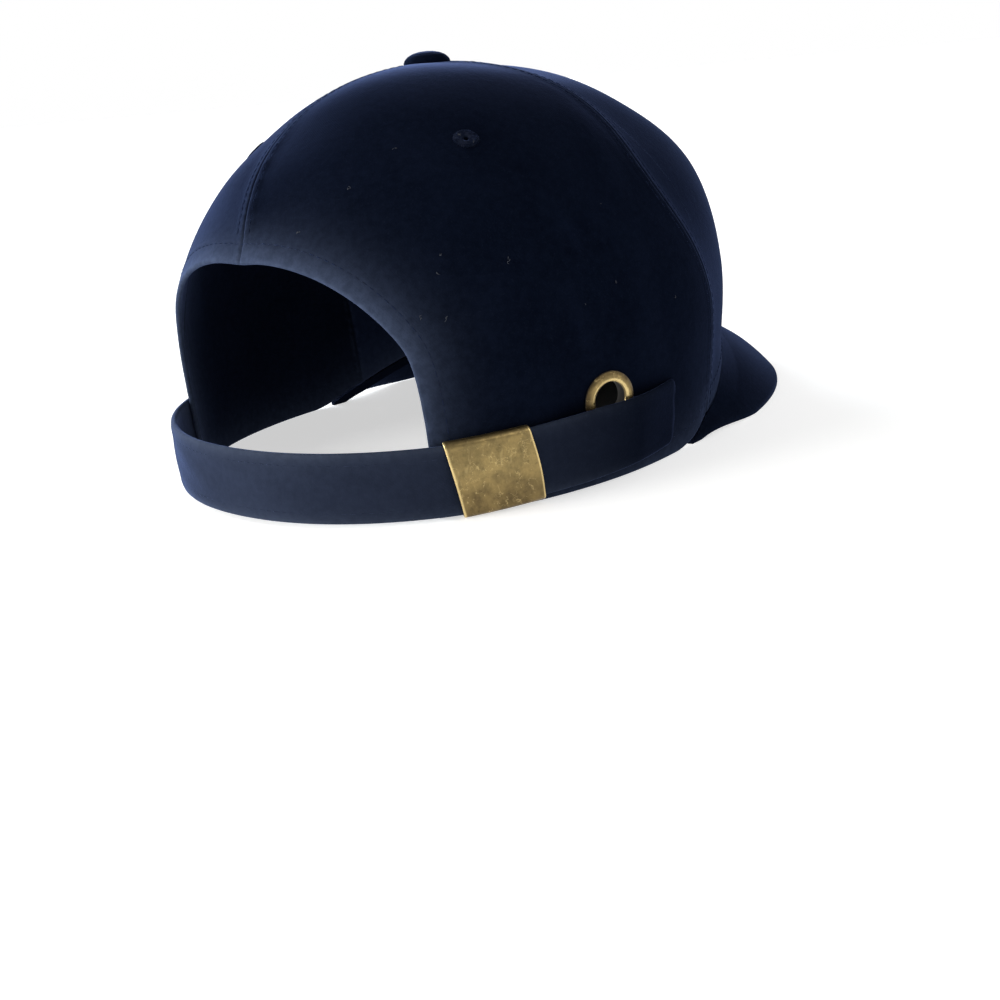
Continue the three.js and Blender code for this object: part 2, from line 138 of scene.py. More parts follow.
# Relief of the strap: puffed middle, sewn groove, slow waves and a tail that settles on the crown
STRAP_RELIEF = dict(
    puff=0.16, puff_in=(1, 2), groove=0.1, groove_width=0.6, wave=0.12, wave_turn=21, wave_height=0.5,
    wave_in=(2, 6), settle_turn=68, settle_thin=0.5, settle_sink=0.75, spacing=1.2, start_share=0.006,
    end_share=0.975, end_thick=0.3,
)
CLASP = dict(
    from_turn=37.2, to_turn=51.8, slant=-1.9, wall=0.7, bow=1.3, bow_power=1.3, margin=0.3, end_rows=7,
    inside_edge=9.0,
)
# Brass of the clasp darker and duller towards its foot, a painted shade, and towards its head; the
# grommet's rubbed rim, partly a painted highlight, its dull parts, and painted shade inside its barrel
CLASP_DARKENING = dict(foot=0.65, foot_heights=(4, 15), head=0.4, head_heights=(20, 24))
GROMMET_WEAR_AND_SHADE = dict(
    rubbed_radius=5.15, rubbed_slope=1.3, below=2, face_rise=0.9, dull=0.9, dull_radii=(5.5, 7.2),
    dull_rise=0.8, black_rises=(0.5, 1.0),
)
GROMMET = dict(turn=69.2, height=25.6, hole_radius=6.2, scale=1.13)
PUCKER = dict(slope=0.16, reach=15)
EYELET = dict(turn=47.7, lift=59.3, hole_radius=0.8, satin=1.1, draw_in=0.1, rise=0.05, points=73)

# Outlines turned about an axis: radius from it and rise along it, and how strongly they curve
CURVE_PULL = 0.28
TURNED_SEGMENTS = 96
GROMMET_TABLE = (
    dict(radius=4.7, rise=-2.9),
    dict(radius=4.7, rise=0.9),
    dict(radius=5.0, rise=1.35),
    dict(radius=5.7, rise=1.55),
    dict(radius=6.6, rise=1.4),
    dict(radius=7.25, rise=0.95),
    dict(radius=7.4, rise=0.45),
    dict(radius=5.2, rise=0.4),
    dict(radius=5.2, rise=-2.25),
    dict(radius=6.9, rise=-2.3),
    dict(radius=6.9, rise=-2.8),
)
BUTTON_TABLE = (
    dict(radius=3.7, rise=-2.6),
    dict(radius=3.9, rise=-0.6),
    dict(radius=7.3, rise=-0.35),
    dict(radius=7.5, rise=0.1),
    dict(radius=7.1, rise=1.0),
    dict(radius=6.0, rise=2.05),
    dict(radius=4.3, rise=2.85),
    dict(radius=2.2, rise=3.32),
)
BUTTON_TOP = 3.45
BUTTON_SHIFT = np.array([1.4, 1.15, 0.0])
BUTTON_PLEATS = (dict(depth=0.06, count=6, phase=0.4), dict(depth=0.04, count=11, phase=1.7))
PLEAT_RADII = (4.5, 7.0)

# Soft folds pressed into the side panels: a ridge from one point of the crown to another
FOLD_TABLE = (
    dict(turn=96, lift=68, end_turn=82, end_lift=44, width=4.5, rise=0.55),
    dict(turn=60, lift=50, end_turn=70, end_lift=36, width=3.6, rise=0.42),
    dict(turn=62, lift=34, end_turn=66, end_lift=22, width=3.2, rise=0.36),
    dict(turn=84, lift=40, end_turn=88, end_lift=18, width=5.0, rise=-0.45),
    dict(turn=-70, lift=58, end_turn=-76, end_lift=34, width=5.0, rise=0.45),
    dict(turn=-50, lift=40, end_turn=-58, end_lift=24, width=4.0, rise=0.36),
)
# Slow unevenness of worn cloth: waves through the crown, in millimetres
DRIFT_TABLE = (
    dict(x=0.061, y=0.083, z=0.047, phase=0.4, rise=0.16),
    dict(x=-0.094, y=0.052, z=0.071, phase=2.1, rise=0.13),
    dict(x=0.128, y=-0.107, z=0.115, phase=4.0, rise=0.09),
    dict(x=0.035, y=0.158, z=-0.142, phase=5.2, rise=0.07),
)
# Level direction from the cap towards the dim side of the room
NEAR_SIDE = (-0.85, 0.53, 0.0)
# Soft lights: the way from the cap to each of them, and its tint
LIGHT_TABLE = (
    dict(name="window", way=(0.980, -0.094, 0.174), tint=(0.82, 0.91, 1.0)),
    dict(name="side", way=(0.572, 0.802, 0.174), tint=(1.0, 0.985, 0.96)),
    dict(name="fill", way=(-0.763, 0.073, 0.643), tint=(1.0, 1.0, 1.0)),
)
# Relief beside a seam: groove, folded allowance and the dint of its stitch row
SEAM_RELIEF = dict(
    groove=0.32, groove_width=0.45, band=0.08, band_start=(0.3, 1.3), band_end=(3.5, 5.0), row=3.1,
    dint=0.06, dint_width=0.5, fade=14,
)
HEM_RELIEF = dict(band=0.12, band_end=(6.6, 8.0), row=6.0, dint=0.07, dint_width=0.55)
# Crease at a seam: the cloth runs smoothly up to it and falls away past it
REAR_CREASE = dict(fall=0.6, run=3.0, reach=18, filled=0.8)
FRONT_CREASE = dict(fall=1.5, run=5.0, reach=30, filled=1.0)
SEAM_PUCKER = dict(
    rise=0.24, base=0.6, off=2.8, width=2.0, length=7.0, off_edge=(4, 16), end_lifts=(55, 66),
)
# Distances from an edge over which creases and folds fade in, and the part of a fold that tapers
CREASE_OFF_EDGE = (1, 14)
FOLD_OFF_EDGE = (1.5, 9)
FOLD_TAPER = 0.08
# Rubbed nap with painted glow along the arch and the hem, painted light on the nap past the seams, and
# painted shade beside the rear seam, high on the left panel and above the strap's tail
ARCH_WEAR_AND_GLOW = dict(leg_off=1.5, leg_heights=(25, 60), hem_off=5)
PAINTED_LIGHT = dict(
    rear=0.45, rear_start=(0.2, 2.0), rear_reach=60, rear_lifts=(46, 57),
    front=(0.6, 0.3), front_start=(0.0, 1.2), front_reach=40, front_lifts=(30, 48), folds=0.2,
)
PAINTED_SHADE = dict(
    high_lifts=(48, 58), right=(0.7, 0.9), right_off=5, right_reach=(9, 17), off_arch=(8, 20),
    left=0.5, left_reach=30, tail=0.95, tail_start=(52, 60), tail_end=(80, 90), tail_off=0.5,
    tail_reach=2.6,
)
# Peak and button: where no mark reaches, and the painted shade of the peak's middle
FAR_FROM_SEAM = 20.0
FAR_FROM_EDGE = 60.0
PEAK_EDGE_OFF = 20
PEAK_SHADE = dict(share=0.75, off_rim=(4, 25))
STRAP_EDGE_OFF = 0.8
# Spot of painted shadow on the floor, deep in the hollow under the cap, in the hem's frame
SHADE_SPOT = dict(x=-18, y=-50, radius=35, soft=18)
# Places on the cloth where a little lint clings, and how far it spreads
LINT_TABLE = (
    dict(turn=51.1, lift=39.0, spread=1.2), dict(turn=31.1, lift=47.7, spread=0.7),
    dict(turn=34.6, lift=31.7, spread=1.1), dict(turn=38.9, lift=31.2, spread=0.9),
    dict(turn=75.9, lift=46.3, spread=0.9), dict(turn=65.2, lift=31.9, spread=0.8),
    dict(turn=46.0, lift=60.0, spread=1.4), dict(turn=49.6, lift=58.6, spread=1.2),
    dict(turn=19.4, lift=51.1, spread=1.5), dict(turn=9.6, lift=44.4, spread=0.8),
    dict(turn=38.6, lift=40.3, spread=0.6), dict(turn=37.8, lift=37.6, spread=0.7),
    dict(turn=28.7, lift=58.0, spread=0.9), dict(turn=73.6, lift=34.5, spread=0.9),
    dict(turn=65.2, lift=27.9, spread=0.7), dict(turn=91.3, lift=30.2, spread=0.6),
)
LINT = dict(seed=7, fibres=3, points=16, curl=140, step=(0.25, 0.85), scatter=0.35, rise=(0.15, 0.4))

# Stitch rows: lifts of the seam rows, turns of the hem rows, and how far rows keep from what they meet
SEAM_ROW = dict(rear_low=45, front_low=5, high=84, points=160)
HEM_ROW = dict(rear=(-108, 108), front=(113, 247), above_cove=2.4, points=700, smooth=9)
STRAP_ROW = dict(start_in=1.5, clasp_off=1, points=300)
THREAD_RISE = 0.12
# Grains of embroidery and of lint, in metres
EYELET_GRAIN = dict(pitch=0.0004, run=0.00056, thickness=0.0006)
LINT_GRAIN = dict(pitch=0.00018, run=0.0003, width=0.00013, thickness=0.0001)

# Scales of the noises in each metre, and spacings of the cloth's ribs and yarns in millimetres
CLOTH_NOISE = dict(cloud=38.0, nap=430.0, grain=1900.0, rib=0.95, yarn=0.62)
THREAD_NOISE = dict(strand=2600.0, worn=420.0)
BRASS_NOISE = dict(patch=190.0, mottle=700.0, pit=2600.0, curl=330.0, gap=240.0)
BRASS_STREAK = dict(turn=(0.5, 0.3, 0.2), scale=(1500, 260, 260))
LINT_NOISE = 3000.0
NAP_ROUGHNESS = 0.28
# Distances over which the nap of the crown and of the strap turns pale towards an edge: rubbed nap and
# painted glow of light
CLOTH_WEAR_AND_GLOW = dict(crown=6.0, strap=1.6)
# Paper tones; spot is the colour of the painted shadow in the hollow
PAPER = dict(
    noise=9.0, low=(0.66, 0.66, 0.655), high=(0.69, 0.69, 0.685), spot=(0.03, 0.03, 0.03),
    radius=30.0, segments=96,
)
# Heights and ways between which the room dims
ROOM = dict(dim_high=(0.12, 0.3), dim_near=(-0.35, 0.65), ceiling_high=(0.3, 0.75))
BLACK = (0, 0, 0)
WHITE = (1, 1, 1)


def mm(metres):
    return metres * 1000.0


def lerp(low, high, share):
    return low + (high - low) * share


def smoothstep(value, low, high):
    share = np.clip((value - low) / (high - low), 0, 1)
    return share * share * (3 - 2 * share)


def bell(value, width):
    return np.exp(-np.square(value / width))


def unit(vectors):
    return vectors / np.linalg.norm(vectors, axis=-1, keepdims=True)


def crowd(count, pull):
    """Shares from 0 to 1 that crowd towards both ends."""
    even = np.linspace(0, 1, count)
    return even - pull * np.sin(2 * np.pi * even) / (2 * np.pi)


def run_length(points):
    """Length along a line of points, at each of them."""
    return np.concatenate([[0], np.cumsum(np.linalg.norm(np.diff(points, axis=0), axis=1))])


# Crown surface

def reach_at(column, lift):
    """Smooth curve through one column of the crown table."""
    values = CROWN[column]
    last = len(values) - 1
    place = np.clip(lift / TOP_LIFT, 0, 1) * last
    i = np.minimum(place.astype(int), last - 1)
    w = place - i
    before, here = values[np.maximum(i - 1, 0)], values[i]
    there, after = values[i + 1], values[np.minimum(i + 2, last)]
    v0, v1 = (there - before) / 2, (after - here) / 2
    cubic = (2 * here - 2 * there + v0 + v1) * w ** 3
    return cubic + (3 * there - 3 * here - 2 * v0 - v1) * w ** 2 + v0 * w + here


def plain_reach(turn, lift):
    """Oval section of the crown before seams and puckers are pressed in."""
    turn, lift = np.broadcast_arrays(np.asarray(turn, float), np.asarray(lift, float))
    c, s = np.cos(np.radians(turn)), np.sin(np.radians(turn))
    along = np.where(c > 0, reach_at("back", lift), reach_at("front", lift))
    across = reach_at("side", lift)
    share = smoothstep(lift, OVAL_POWER["from_lift"], OVAL_POWER["to_lift"])
    power = lerp(OVAL_POWER["hem"], OVAL_POWER["top"], share)
    return (np.abs(c / along) ** power + np.abs(s / across) ** power) ** (-1 / power)


def radial(turn, lift, distance):
    t, l = np.radians(turn), np.radians(lift)
    flat = distance * np.cos(l)
    return np.stack([-np.sin(t) * flat, np.cos(t) * flat, distance * np.sin(l)], axis=-1)


def front_seam(lift):
    bow = FRONT_SEAM["bow"] * bell(lift - FRONT_SEAM["bow_lift"], FRONT_SEAM["bow_width"])
    return FRONT_SEAM["turn"] - bow


def rear_seam(lift):
    share = smoothstep(lift, REAR_SEAM["from_lift"], REAR_SEAM["to_lift"])
    return REAR_SEAM["turn"] + REAR_SEAM["sway"] * share


def left_seam(lift):
    return -front_seam(lift)


def far_left_seam(lift):
    return 360 - front_seam(lift)


def turn_gap(a, b):
    return np.abs((a - b + 540) % 360 - 180)


def seam_distance(turn, lift, radius):
    gaps = [turn_gap(turn, seam(lift)) for seam in (rear_seam, front_seam, left_seam)]
    return np.radians(np.minimum.reduce(gaps)) * radius


def crown_skin(turn, lift, dipped=True):
    """Outer skin of the crown, with or without the dips along its seams."""
    plain = plain_reach(turn, lift)
    radius = plain * np.cos(np.radians(lift))
    height = plain * np.sin(np.radians(lift))
    along = np.radians(turn - GROMMET["turn"]) * radius
    spread = (along ** 2 + (height - GROMMET["height"]) ** 2) / PUCKER["reach"] ** 2
    shift = PUCKER["slope"] * along * np.exp(-spread)
    if dipped:
        fade = smoothstep(radius, TOP_HOLE_RADIUS, SEAM_DIP["fade_radius"])
        dip = bell(seam_distance(turn, lift, radius), SEAM_DIP["width"])
        shift = shift - SEAM_DIP["depth"] * fade * dip
    return radial(turn, lift, plain + shift)


def crown_normal(turn, lift):
    step = 0.4
    low = np.clip(lift, step, TOP_LIFT - 2 * step)
    ahead = radial(turn + step, low, plain_reach(turn + step, low))
    behind = radial(turn - step, low, plain_reach(turn - step, low))
    above = radial(turn, low + step, plain_reach(turn, low + step))
    below = radial(turn, low - step, plain_reach(turn, low - step))
    return unit(np.cross(ahead - behind, above - below))


def crown_point(turn, lift, out, dipped=True):
    turn, lift = np.broadcast_arrays(np.asarray(turn, float), np.asarray(lift, float))
    return crown_skin(turn, lift, dipped) + crown_normal(turn, lift) * np.asarray(out, float)[..., None]


def lift_where(turn, low, high, is_below):
    """Lift angle at which a test on the plain crown turns false, found by halving."""
    low, high = np.full(np.shape(turn), low, float), np.full(np.shape(turn), high, float)
    for _ in range(HALVINGS):
        middle = (low + high) / 2
        below = is_below(plain_reach(turn, middle), np.radians(middle))
        low, high = np.where(below, middle, low), np.where(below, high, middle)
    return (low + high) / 2


def lift_at_height(turn, height):
    return lift_where(turn, 0, TOP_LIFT, lambda reach, angle: reach * np.sin(angle) < height)


def lift_at_radius(turn, radius):
    return lift_where(turn, 45, TOP_LIFT, lambda reach, angle: reach * np.cos(angle) > radius)


def hem_height(turn):
    """Height of the crown's lower edge: rear arch, flat hem, then raised over the peak."""
    from_rear = turn_gap(turn, 0)
    from_middle = turn_gap(turn, ARCH["middle"])
    past_leg = np.clip((from_middle - ARCH["leg_turn"]) / ARCH["leg_soft"], -30, 30)
    drawn = from_middle + ARCH["leg_draw"] * ARCH["leg_soft"] * np.log1p(np.exp(past_leg))
    inside = np.clip(1 - (drawn / ARCH["half_turn"]) ** ARCH["power"], 0, 1)
    arch = ARCH["height"] * inside ** (1 / ARCH["power"])
    step = PEAK_LIFT["step"] * smoothstep(from_rear, PEAK_LIFT["from_turn"], PEAK_LIFT["to_turn"])
    share = np.clip((from_rear - PEAK_TURN) / (180 - PEAK_TURN), 0, 1)
    return arch + step + PEAK_LIFT["arch"] * np.sin(share * np.pi / 2) ** PEAK_LIFT["power"]


def hem_line(from_turn, to_turn, count):
    """Turn, lift and points of the crown's lower edge, evenly spaced along it."""
    turn = np.linspace(from_turn, to_turn, FINE_POINTS)
    length = run_length(crown_skin(turn, lift_at_height(turn, hem_height(turn)), dipped=False))
    turn = np.interp(np.linspace(0, length[-1], count), length, turn)
    lift = lift_at_height(turn, hem_height(turn))
    return turn, lift, crown_skin(turn, lift, dipped=False)


def off_hem(points):
    """Distance of each point from the crown's lower edge."""
    return nearest(points, hem_line(-180, 180, HEM_POINTS)[2])


def hem_inset(turn, lift, hem, inset, reach):
    """Shifts of turn and lift that take the lower edge into the cloth, and the way in at each point."""
    inward = np.cross(unit(np.gradient(hem, axis=0)), crown_normal(turn, lift))
    upward = crown_skin(turn, lift + 1, dipped=False) - hem
    inward *= np.sign(np.median(np.sum(inward * upward, axis=1)))
    inward = unit(smoothed(inward, reach))
    ahead = crown_skin(turn + 1, lift, dipped=False) - hem
    shift = inward * inset
    turn_shift = np.sum(shift * ahead, axis=1) / np.sum(ahead ** 2, axis=1)
    lift_shift = np.sum(shift * upward, axis=1) / np.sum(upward ** 2, axis=1)
    return turn_shift, lift_shift, inward


def smoothed(values, reach):
    """Running mean along the first axis, with the ends held."""
    padded = np.concatenate([np.repeat(values[:1], reach, 0), values, np.repeat(values[-1:], reach, 0)])
    total = np.cumsum(np.concatenate([np.zeros_like(padded[:1]), padded]), axis=0)
    window = 2 * reach + 1
    return (total[window:] - total[:-window]) / window


def table_at(table, column, turn):
    return np.interp(turn, [row["turn"] for row in table], [row[column] for row in table])


def cloth_drift(points):
    total = np.zeros(points.shape[:-1])
    for wave in DRIFT_TABLE:
        angle = points @ np.array([wave["x"], wave["y"], wave["z"]]) + wave["phase"]
        total += wave["rise"] * np.sin(angle)
    return total


def fold_shares(points):
    """How near each point lies to the ridge of each fold."""
    for fold in FOLD_TABLE:
        start = crown_skin(np.array(fold["turn"]), np.array(fold["lift"]))
        run = crown_skin(np.array(fold["end_turn"]), np.array(fold["end_lift"])) - start
        share = np.clip((points - start) @ run / (run @ run), 0, 1)
        gap = np.linalg.norm(points - start - share[..., None] * run, axis=-1)
        taper = np.sin(np.pi * np.clip(share, FOLD_TAPER, 1 - FOLD_TAPER))
        yield fold, taper * bell(gap, fold["width"])


def cloth_folds(points):
    return sum(fold["rise"] * share for fold, share in fold_shares(points))


def fold_highlight(points):
    """Painted highlight: paler nap along the raised folds."""
    return sum(share ** 2 for fold, share in fold_shares(points) if fold["rise"] > 0)


# Meshes

def strip_quads(first, second, wrap=False):
    """Quads between two rows of vertex indices."""
    if wrap:
        first, second = np.append(first, first[0]), np.append(second, second[0])
    return np.stack([first[:-1], first[1:], second[1:], second[:-1]], axis=1)


def grid_quads(index, wrap_rows=False, wrap_columns=False):
    rows = list(index) + ([index[0]] if wrap_rows else [])
    return np.vstack([strip_quads(a, b, wrap_columns) for a, b in zip(rows[:-1], rows[1:])])


def grid_index(points):
    """Vertex indices of a grid of points, row by row."""
    rows, columns = points.shape[:2]
    return np.arange(rows * columns).reshape(rows, columns)


def rolled_edge(first, second, outward, bends, most=np.inf):
    """Rows of a round edge that runs from one row of points to another."""
    middle, half = (first + second) / 2, (first - second) / 2
    reach = np.minimum(np.linalg.norm(half, axis=1, keepdims=True), most)
    bend = np.pi * np.arange(1, bends)[:, None, None] / bends
    return middle + half * np.cos(bend) + outward * reach * np.sin(bend)


def to_frame(points):
    """Points of the hem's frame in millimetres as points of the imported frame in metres."""
    return (points + HEM_CENTRE) / 1000


def add_object(name, data):
    thing = bpy.data.objects.new(name, data)
    bpy.context.scene.collection.objects.link(thing)
    return thing


def build_mesh(name, points, faces, sharp_deg=48):
    """Closed mesh in the frame, in metres, with its faces turned outwards."""
    mesh = bpy.data.meshes.new(name)
    mesh.from_pydata(to_frame(points).tolist(), [], [list(map(int, face)) for face in faces])
    form = bmesh.new()
    form.from_mesh(mesh)
    if form.calc_volume(signed=True) < 0:
        bmesh.ops.reverse_faces(form, faces=form.faces)
    form.to_mesh(mesh)
    form.free()
    mesh.shade_smooth()
    mesh.set_sharp_from_angle(angle=math.radians(sharp_deg))
    return add_object(name, mesh)


def mesh_points(thing):
    flat = np.empty(len(thing.data.vertices) * 3, np.float32)
    thing.data.vertices.foreach_get("co", flat)
    return flat.reshape(-1, 3).astype(float) * 1000 - HEM_CENTRE


def mark(thing, name, values):
    layer = thing.data.attributes.new(name, "FLOAT", "POINT")
    layer.data.foreach_set("value", np.asarray(values, np.float32).ravel())


def lay_out(thing, flat_points):
    """Cloth map of a piece: where each point lies on the flat cloth, in millimetres."""
    layer = thing.data.uv_layers.new(name="cloth")
    corner = np.empty(len(thing.data.loops), np.int32)
    thing.data.loops.foreach_get("vertex_index", corner)
    layer.data.foreach_set("uv", flat_points[corner].astype(np.float32).ravel())


def nearest(points, line):
    tree = kdtree.KDTree(len(line))
    for i, point in enumerate(line):
        tree.insert(point, i)
    tree.balance()
    return np.array([tree.find(point)[2] for point in points])


def place_piece(thing, material, slot, *nodes):
    """Give a finished piece its material and its body, and hide the parts of the frame that it stands for.
    The slot is not used.
    """
    thing.data.materials.clear()
    thing.data.materials.append(material)
    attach(thing, BODY)
    if nodes:
        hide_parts(*nodes)
    return thing


def crown_marks(thing):
    """Marks of seam and edge, painted light and painted shade on the nap, and the flat cloth map, for a
    crown panel.
    """
    points = mesh_points(thing)
    flat = np.hypot(points[:, 0], points[:, 1])
    turn = np.degrees(np.arctan2(-points[:, 0], points[:, 1]))
    lift = np.degrees(np.arctan2(points[:, 2], flat))
    mark(thing, "seam", seam_distance(turn, lift, flat))
    from_turn, to_turn = ARCH["middle"] - ARCH["half_turn"], ARCH["middle"] + ARCH["half_turn"]
    off_arch = nearest(points, hem_line(from_turn, to_turn, ARCH_POINTS)[2])
    # Distance from the arch and the hem, over which rubbed nap and painted glow fade
    off_arch += ARCH_WEAR_AND_GLOW["leg_off"] * (1 - smoothstep(points[:, 2], *ARCH_WEAR_AND_GLOW["leg_heights"]))
    mark(thing, "edge", np.minimum(off_arch, off_hem(points) + ARCH_WEAR_AND_GLOW["hem_off"]))

    # Painted light: paler nap past the rear seam on the left panel, past the front seams on the front
    # panel, and along the raised folds
    past_rear, past_front = past_seams(turn, lift, flat)
    rear = smoothstep(past_rear, *PAINTED_LIGHT["rear_start"]) * bell(past_rear, PAINTED_LIGHT["rear_reach"])
    rear = PAINTED_LIGHT["rear"] * rear * (1 - smoothstep(lift, *PAINTED_LIGHT["rear_lifts"]))
    front = smoothstep(past_front, *PAINTED_LIGHT["front_start"]) * bell(past_front, PAINTED_LIGHT["front_reach"])
    front = lerp(*PAINTED_LIGHT["front"], smoothstep(lift, *PAINTED_LIGHT["front_lifts"])) * front
    mark(thing, "pale", rear + front + PAINTED_LIGHT["folds"] * fold_highlight(points))

    # Painted shade: beside the rear seam on the right panel, high on the left panel, and a painted shadow
    # on the crown just above the strap's tail
    high = smoothstep(lift, *PAINTED_SHADE["high_lifts"])
    right = bell(past_rear + PAINTED_SHADE["right_off"], lerp(*PAINTED_SHADE["right_reach"], high))
    right *= smoothstep(-past_rear, 0, 1)
    right = lerp(*PAINTED_SHADE["right"], high) * right * smoothstep(off_arch, *PAINTED_SHADE["off_arch"])
    left = PAINTED_SHADE["left"] * high * smoothstep(past_rear, 0, 1) * bell(past_rear, PAINTED_SHADE["left_reach"])
    above_tail = points[:, 2] - table_at(STRAP_TABLE, "low", turn) - STRAP["width"]
    tail_shadow = smoothstep(turn, *PAINTED_SHADE["tail_start"]) * (1 - smoothstep(turn, *PAINTED_SHADE["tail_end"]))
    tail_shadow = PAINTED_SHADE["tail"] * tail_shadow * bell(above_tail - PAINTED_SHADE["tail_off"], PAINTED_SHADE["tail_reach"])
    mark(thing, "shade", np.clip(right + left + tail_shadow, 0, 1))

    middle = np.radians(np.median(turn_gap(turn, 0)) * np.sign(np.median(turn)))
    on_front = turn_gap(turn, 180) < 180 - FRONT_SEAM["turn"]
    across = np.where(on_front, np.radians((turn + 360) % 360 - 180), np.radians(turn) - middle)
    lay_out(thing, np.stack([across * flat, np.radians(lift) * LIFT_LENGTH], axis=1))


def past_seams(turn, lift, radius):
    """Distances past the rear seam onto the left panel and past a front seam onto the front panel."""
    past_rear = np.radians((rear_seam(lift) - turn + 540) % 360 - 180) * radius
    past_front = np.radians(turn_gap(turn, 0) - front_seam(lift)) * radius
    return past_rear, past_front


def seam_crease(past, crease):
    """Fills the dip along a seam and lets the cloth fall away past it."""
    fall = crease["fall"] * (1 - np.exp(-np.maximum(past, 0) / crease["run"])) * bell(past, crease["reach"])
    return crease["filled"] * SEAM_DIP["depth"] * bell(past, SEAM_DIP["width"]) - fall


def panel_relief(turn, lift, points, edge):
    """Small outward shifts of the cloth: seam grooves, creases, folded bands, folds and drift."""
    s, h, k = SEAM_RELIEF, HEM_RELIEF, SEAM_PUCKER
    radius = np.hypot(points[..., 0], points[..., 1])
    past_rear, past_front = past_seams(turn, lift, radius)
    crease = seam_crease(past_rear, REAR_CREASE) + seam_crease(past_front, FRONT_CREASE)
    crease *= smoothstep(radius, TOP_HOLE_RADIUS, SEAM_DIP["fade_radius"])
    crease *= smoothstep(edge, *CREASE_OFF_EDGE)

    seam = seam_distance(turn, lift, radius)
    band = smoothstep(seam, *s["band_start"]) * (1 - smoothstep(seam, *s["band_end"]))
    along_seam = s["band"] * band - s["groove"] * bell(seam, s["groove_width"])
    along_seam -= s["dint"] * bell(seam - s["row"], s["dint_width"])
    wave = k["base"] + np.sin(np.radians(lift) * LIFT_LENGTH * 2 * np.pi / k["length"])
    pucker = wave * bell(past_rear + k["off"], k["width"]) * smoothstep(edge, *k["off_edge"])
    along_seam += k["rise"] * pucker * (1 - smoothstep(lift, *k["end_lifts"]))
    along_seam *= smoothstep(radius, TOP_HOLE_RADIUS, TOP_HOLE_RADIUS + s["fade"])

    along_hem = h["band"] * (1 - smoothstep(edge, *h["band_end"]))
    along_hem -= h["dint"] * bell(edge - h["row"], h["dint_width"])
    off_edges = smoothstep(seam, *FOLD_OFF_EDGE) * smoothstep(edge, *FOLD_OFF_EDGE)
    return crease + along_seam + along_hem + off_edges * (cloth_folds(points) + cloth_drift(points))


def seam_foot(seam):
    """Lift at which a seam meets the crown's lower edge."""
    low, high = 0.0, SHARED_LIFT
    for _ in range(HALVINGS):
        middle = (low + high) / 2
        turn = np.array(seam(middle))
        below = plain_reach(turn, middle) * math.sin(math.radians(middle)) < hem_height(turn)
        low, high = (middle, high) if below else (low, middle)
    return (low + high) / 2


def crown_panel(name, from_seam, to_seam, columns, low_rows=64, high_rows=44):
    """One panel as a closed wall with a rounded hem; columns crowd towards its seams."""
    crowded = crowd(columns, PANEL["crowding"])
    from_foot, to_foot = seam_foot(from_seam), seam_foot(to_seam)
    span = np.linspace(from_seam(from_foot), to_seam(to_foot), PANEL["samples"])
    length = run_length(crown_skin(span, lift_at_height(span, hem_height(span)), dipped=False))
    by_length = np.interp(crowded * length[-1], length, np.linspace(0, 1, len(span)))
    shares = lerp(by_length, crowded, PANEL["even_share"])

    hem_turn = lerp(from_seam(from_foot), to_seam(to_foot), shares)
    hem_lift = lift_at_height(hem_turn, hem_height(hem_turn))
    hem = crown_skin(hem_turn, hem_lift, dipped=False)
    turn_inset, lift_inset, inward = hem_inset(hem_turn, hem_lift, hem, WALL / 2, PANEL["hem_smooth"])

    low = np.linspace(0, 1, low_rows)[:, None] ** PANEL["low_power"]
    from_turn = from_seam(lerp(from_foot, SHARED_LIFT, low))
    to_turn = to_seam(lerp(to_foot, SHARED_LIFT, low))
    low_turn = lerp(from_turn, to_turn, shares) + turn_inset * (1 - low) ** 2
    low_lift = lerp(hem_lift + lift_inset, SHARED_LIFT, low)
    top_turn = lerp(from_seam(PANEL["top_lift"]), to_seam(PANEL["top_lift"]), shares)
    high = np.linspace(0, 1, high_rows + 1)[1:, None]
    high_lift = lerp(SHARED_LIFT, lift_at_radius(top_turn, TOP_HOLE_RADIUS), high)
    high_turn = lerp(from_seam(high_lift), to_seam(high_lift), shares)
    turn, lift = np.vstack([low_turn, high_turn]), np.vstack([low_lift, high_lift])

    skin, out = crown_skin(turn, lift), crown_normal(turn, lift)
    edge = off_hem(skin.reshape(-1, 3)).reshape(turn.shape)
    relief = panel_relief(turn, lift, skin, edge)[..., None]
    outer = skin + out * relief
    inner = skin + out * (PANEL["inner_relief"] * relief - WALL)
    rolled = rolled_edge(outer[0], inner[0], -inward, PANEL["hem_bends"])
    points = np.concatenate([rolled[::-1], outer, inner[::-1]])
    points[..., 2] = np.maximum(points[..., 2], 0)

    index = grid_index(points)
    faces = [*grid_quads(index, wrap_rows=True)]
    bends, tall = len(rolled), len(outer)
    for column in (0, columns - 1):
        outer_side = index[bends:bends + tall, column]
        inner_side = index[bends + tall:, column][::-1]
        wall = strip_quads(outer_side, inner_side)
        faces += [*(wall if column == 0 else wall[:, ::-1])]
        roll = [*index[:bends, column], outer_side[0], inner_side[0]]
        faces.append(roll[::-1] if column == 0 else roll)
    return build_mesh(name, points.reshape(-1, 3), faces)


def cloth_axes(turn, lift):
    """Point on the crown and its axes: ahead, up the cloth and outwards."""
    ahead = crown_skin(turn + 1, lift) - crown_skin(turn - 1, lift)
    above = crown_skin(turn, lift + 1) - crown_skin(turn, lift - 1)
    centre = crown_skin(turn, lift)
    normal = unit(np.cross(ahead, above))
    side = unit(ahead - normal * (ahead @ normal))
    return centre, np.stack([side, np.cross(normal, side), normal])


def grommet_axes():
    turn = np.array(float(GROMMET["turn"]))
    return cloth_axes(turn, lift_at_height(turn, GROMMET["height"]))


def eyelet_axes(side):
    return cloth_axes(side * EYELET["turn"], np.array(float(EYELET["lift"])))


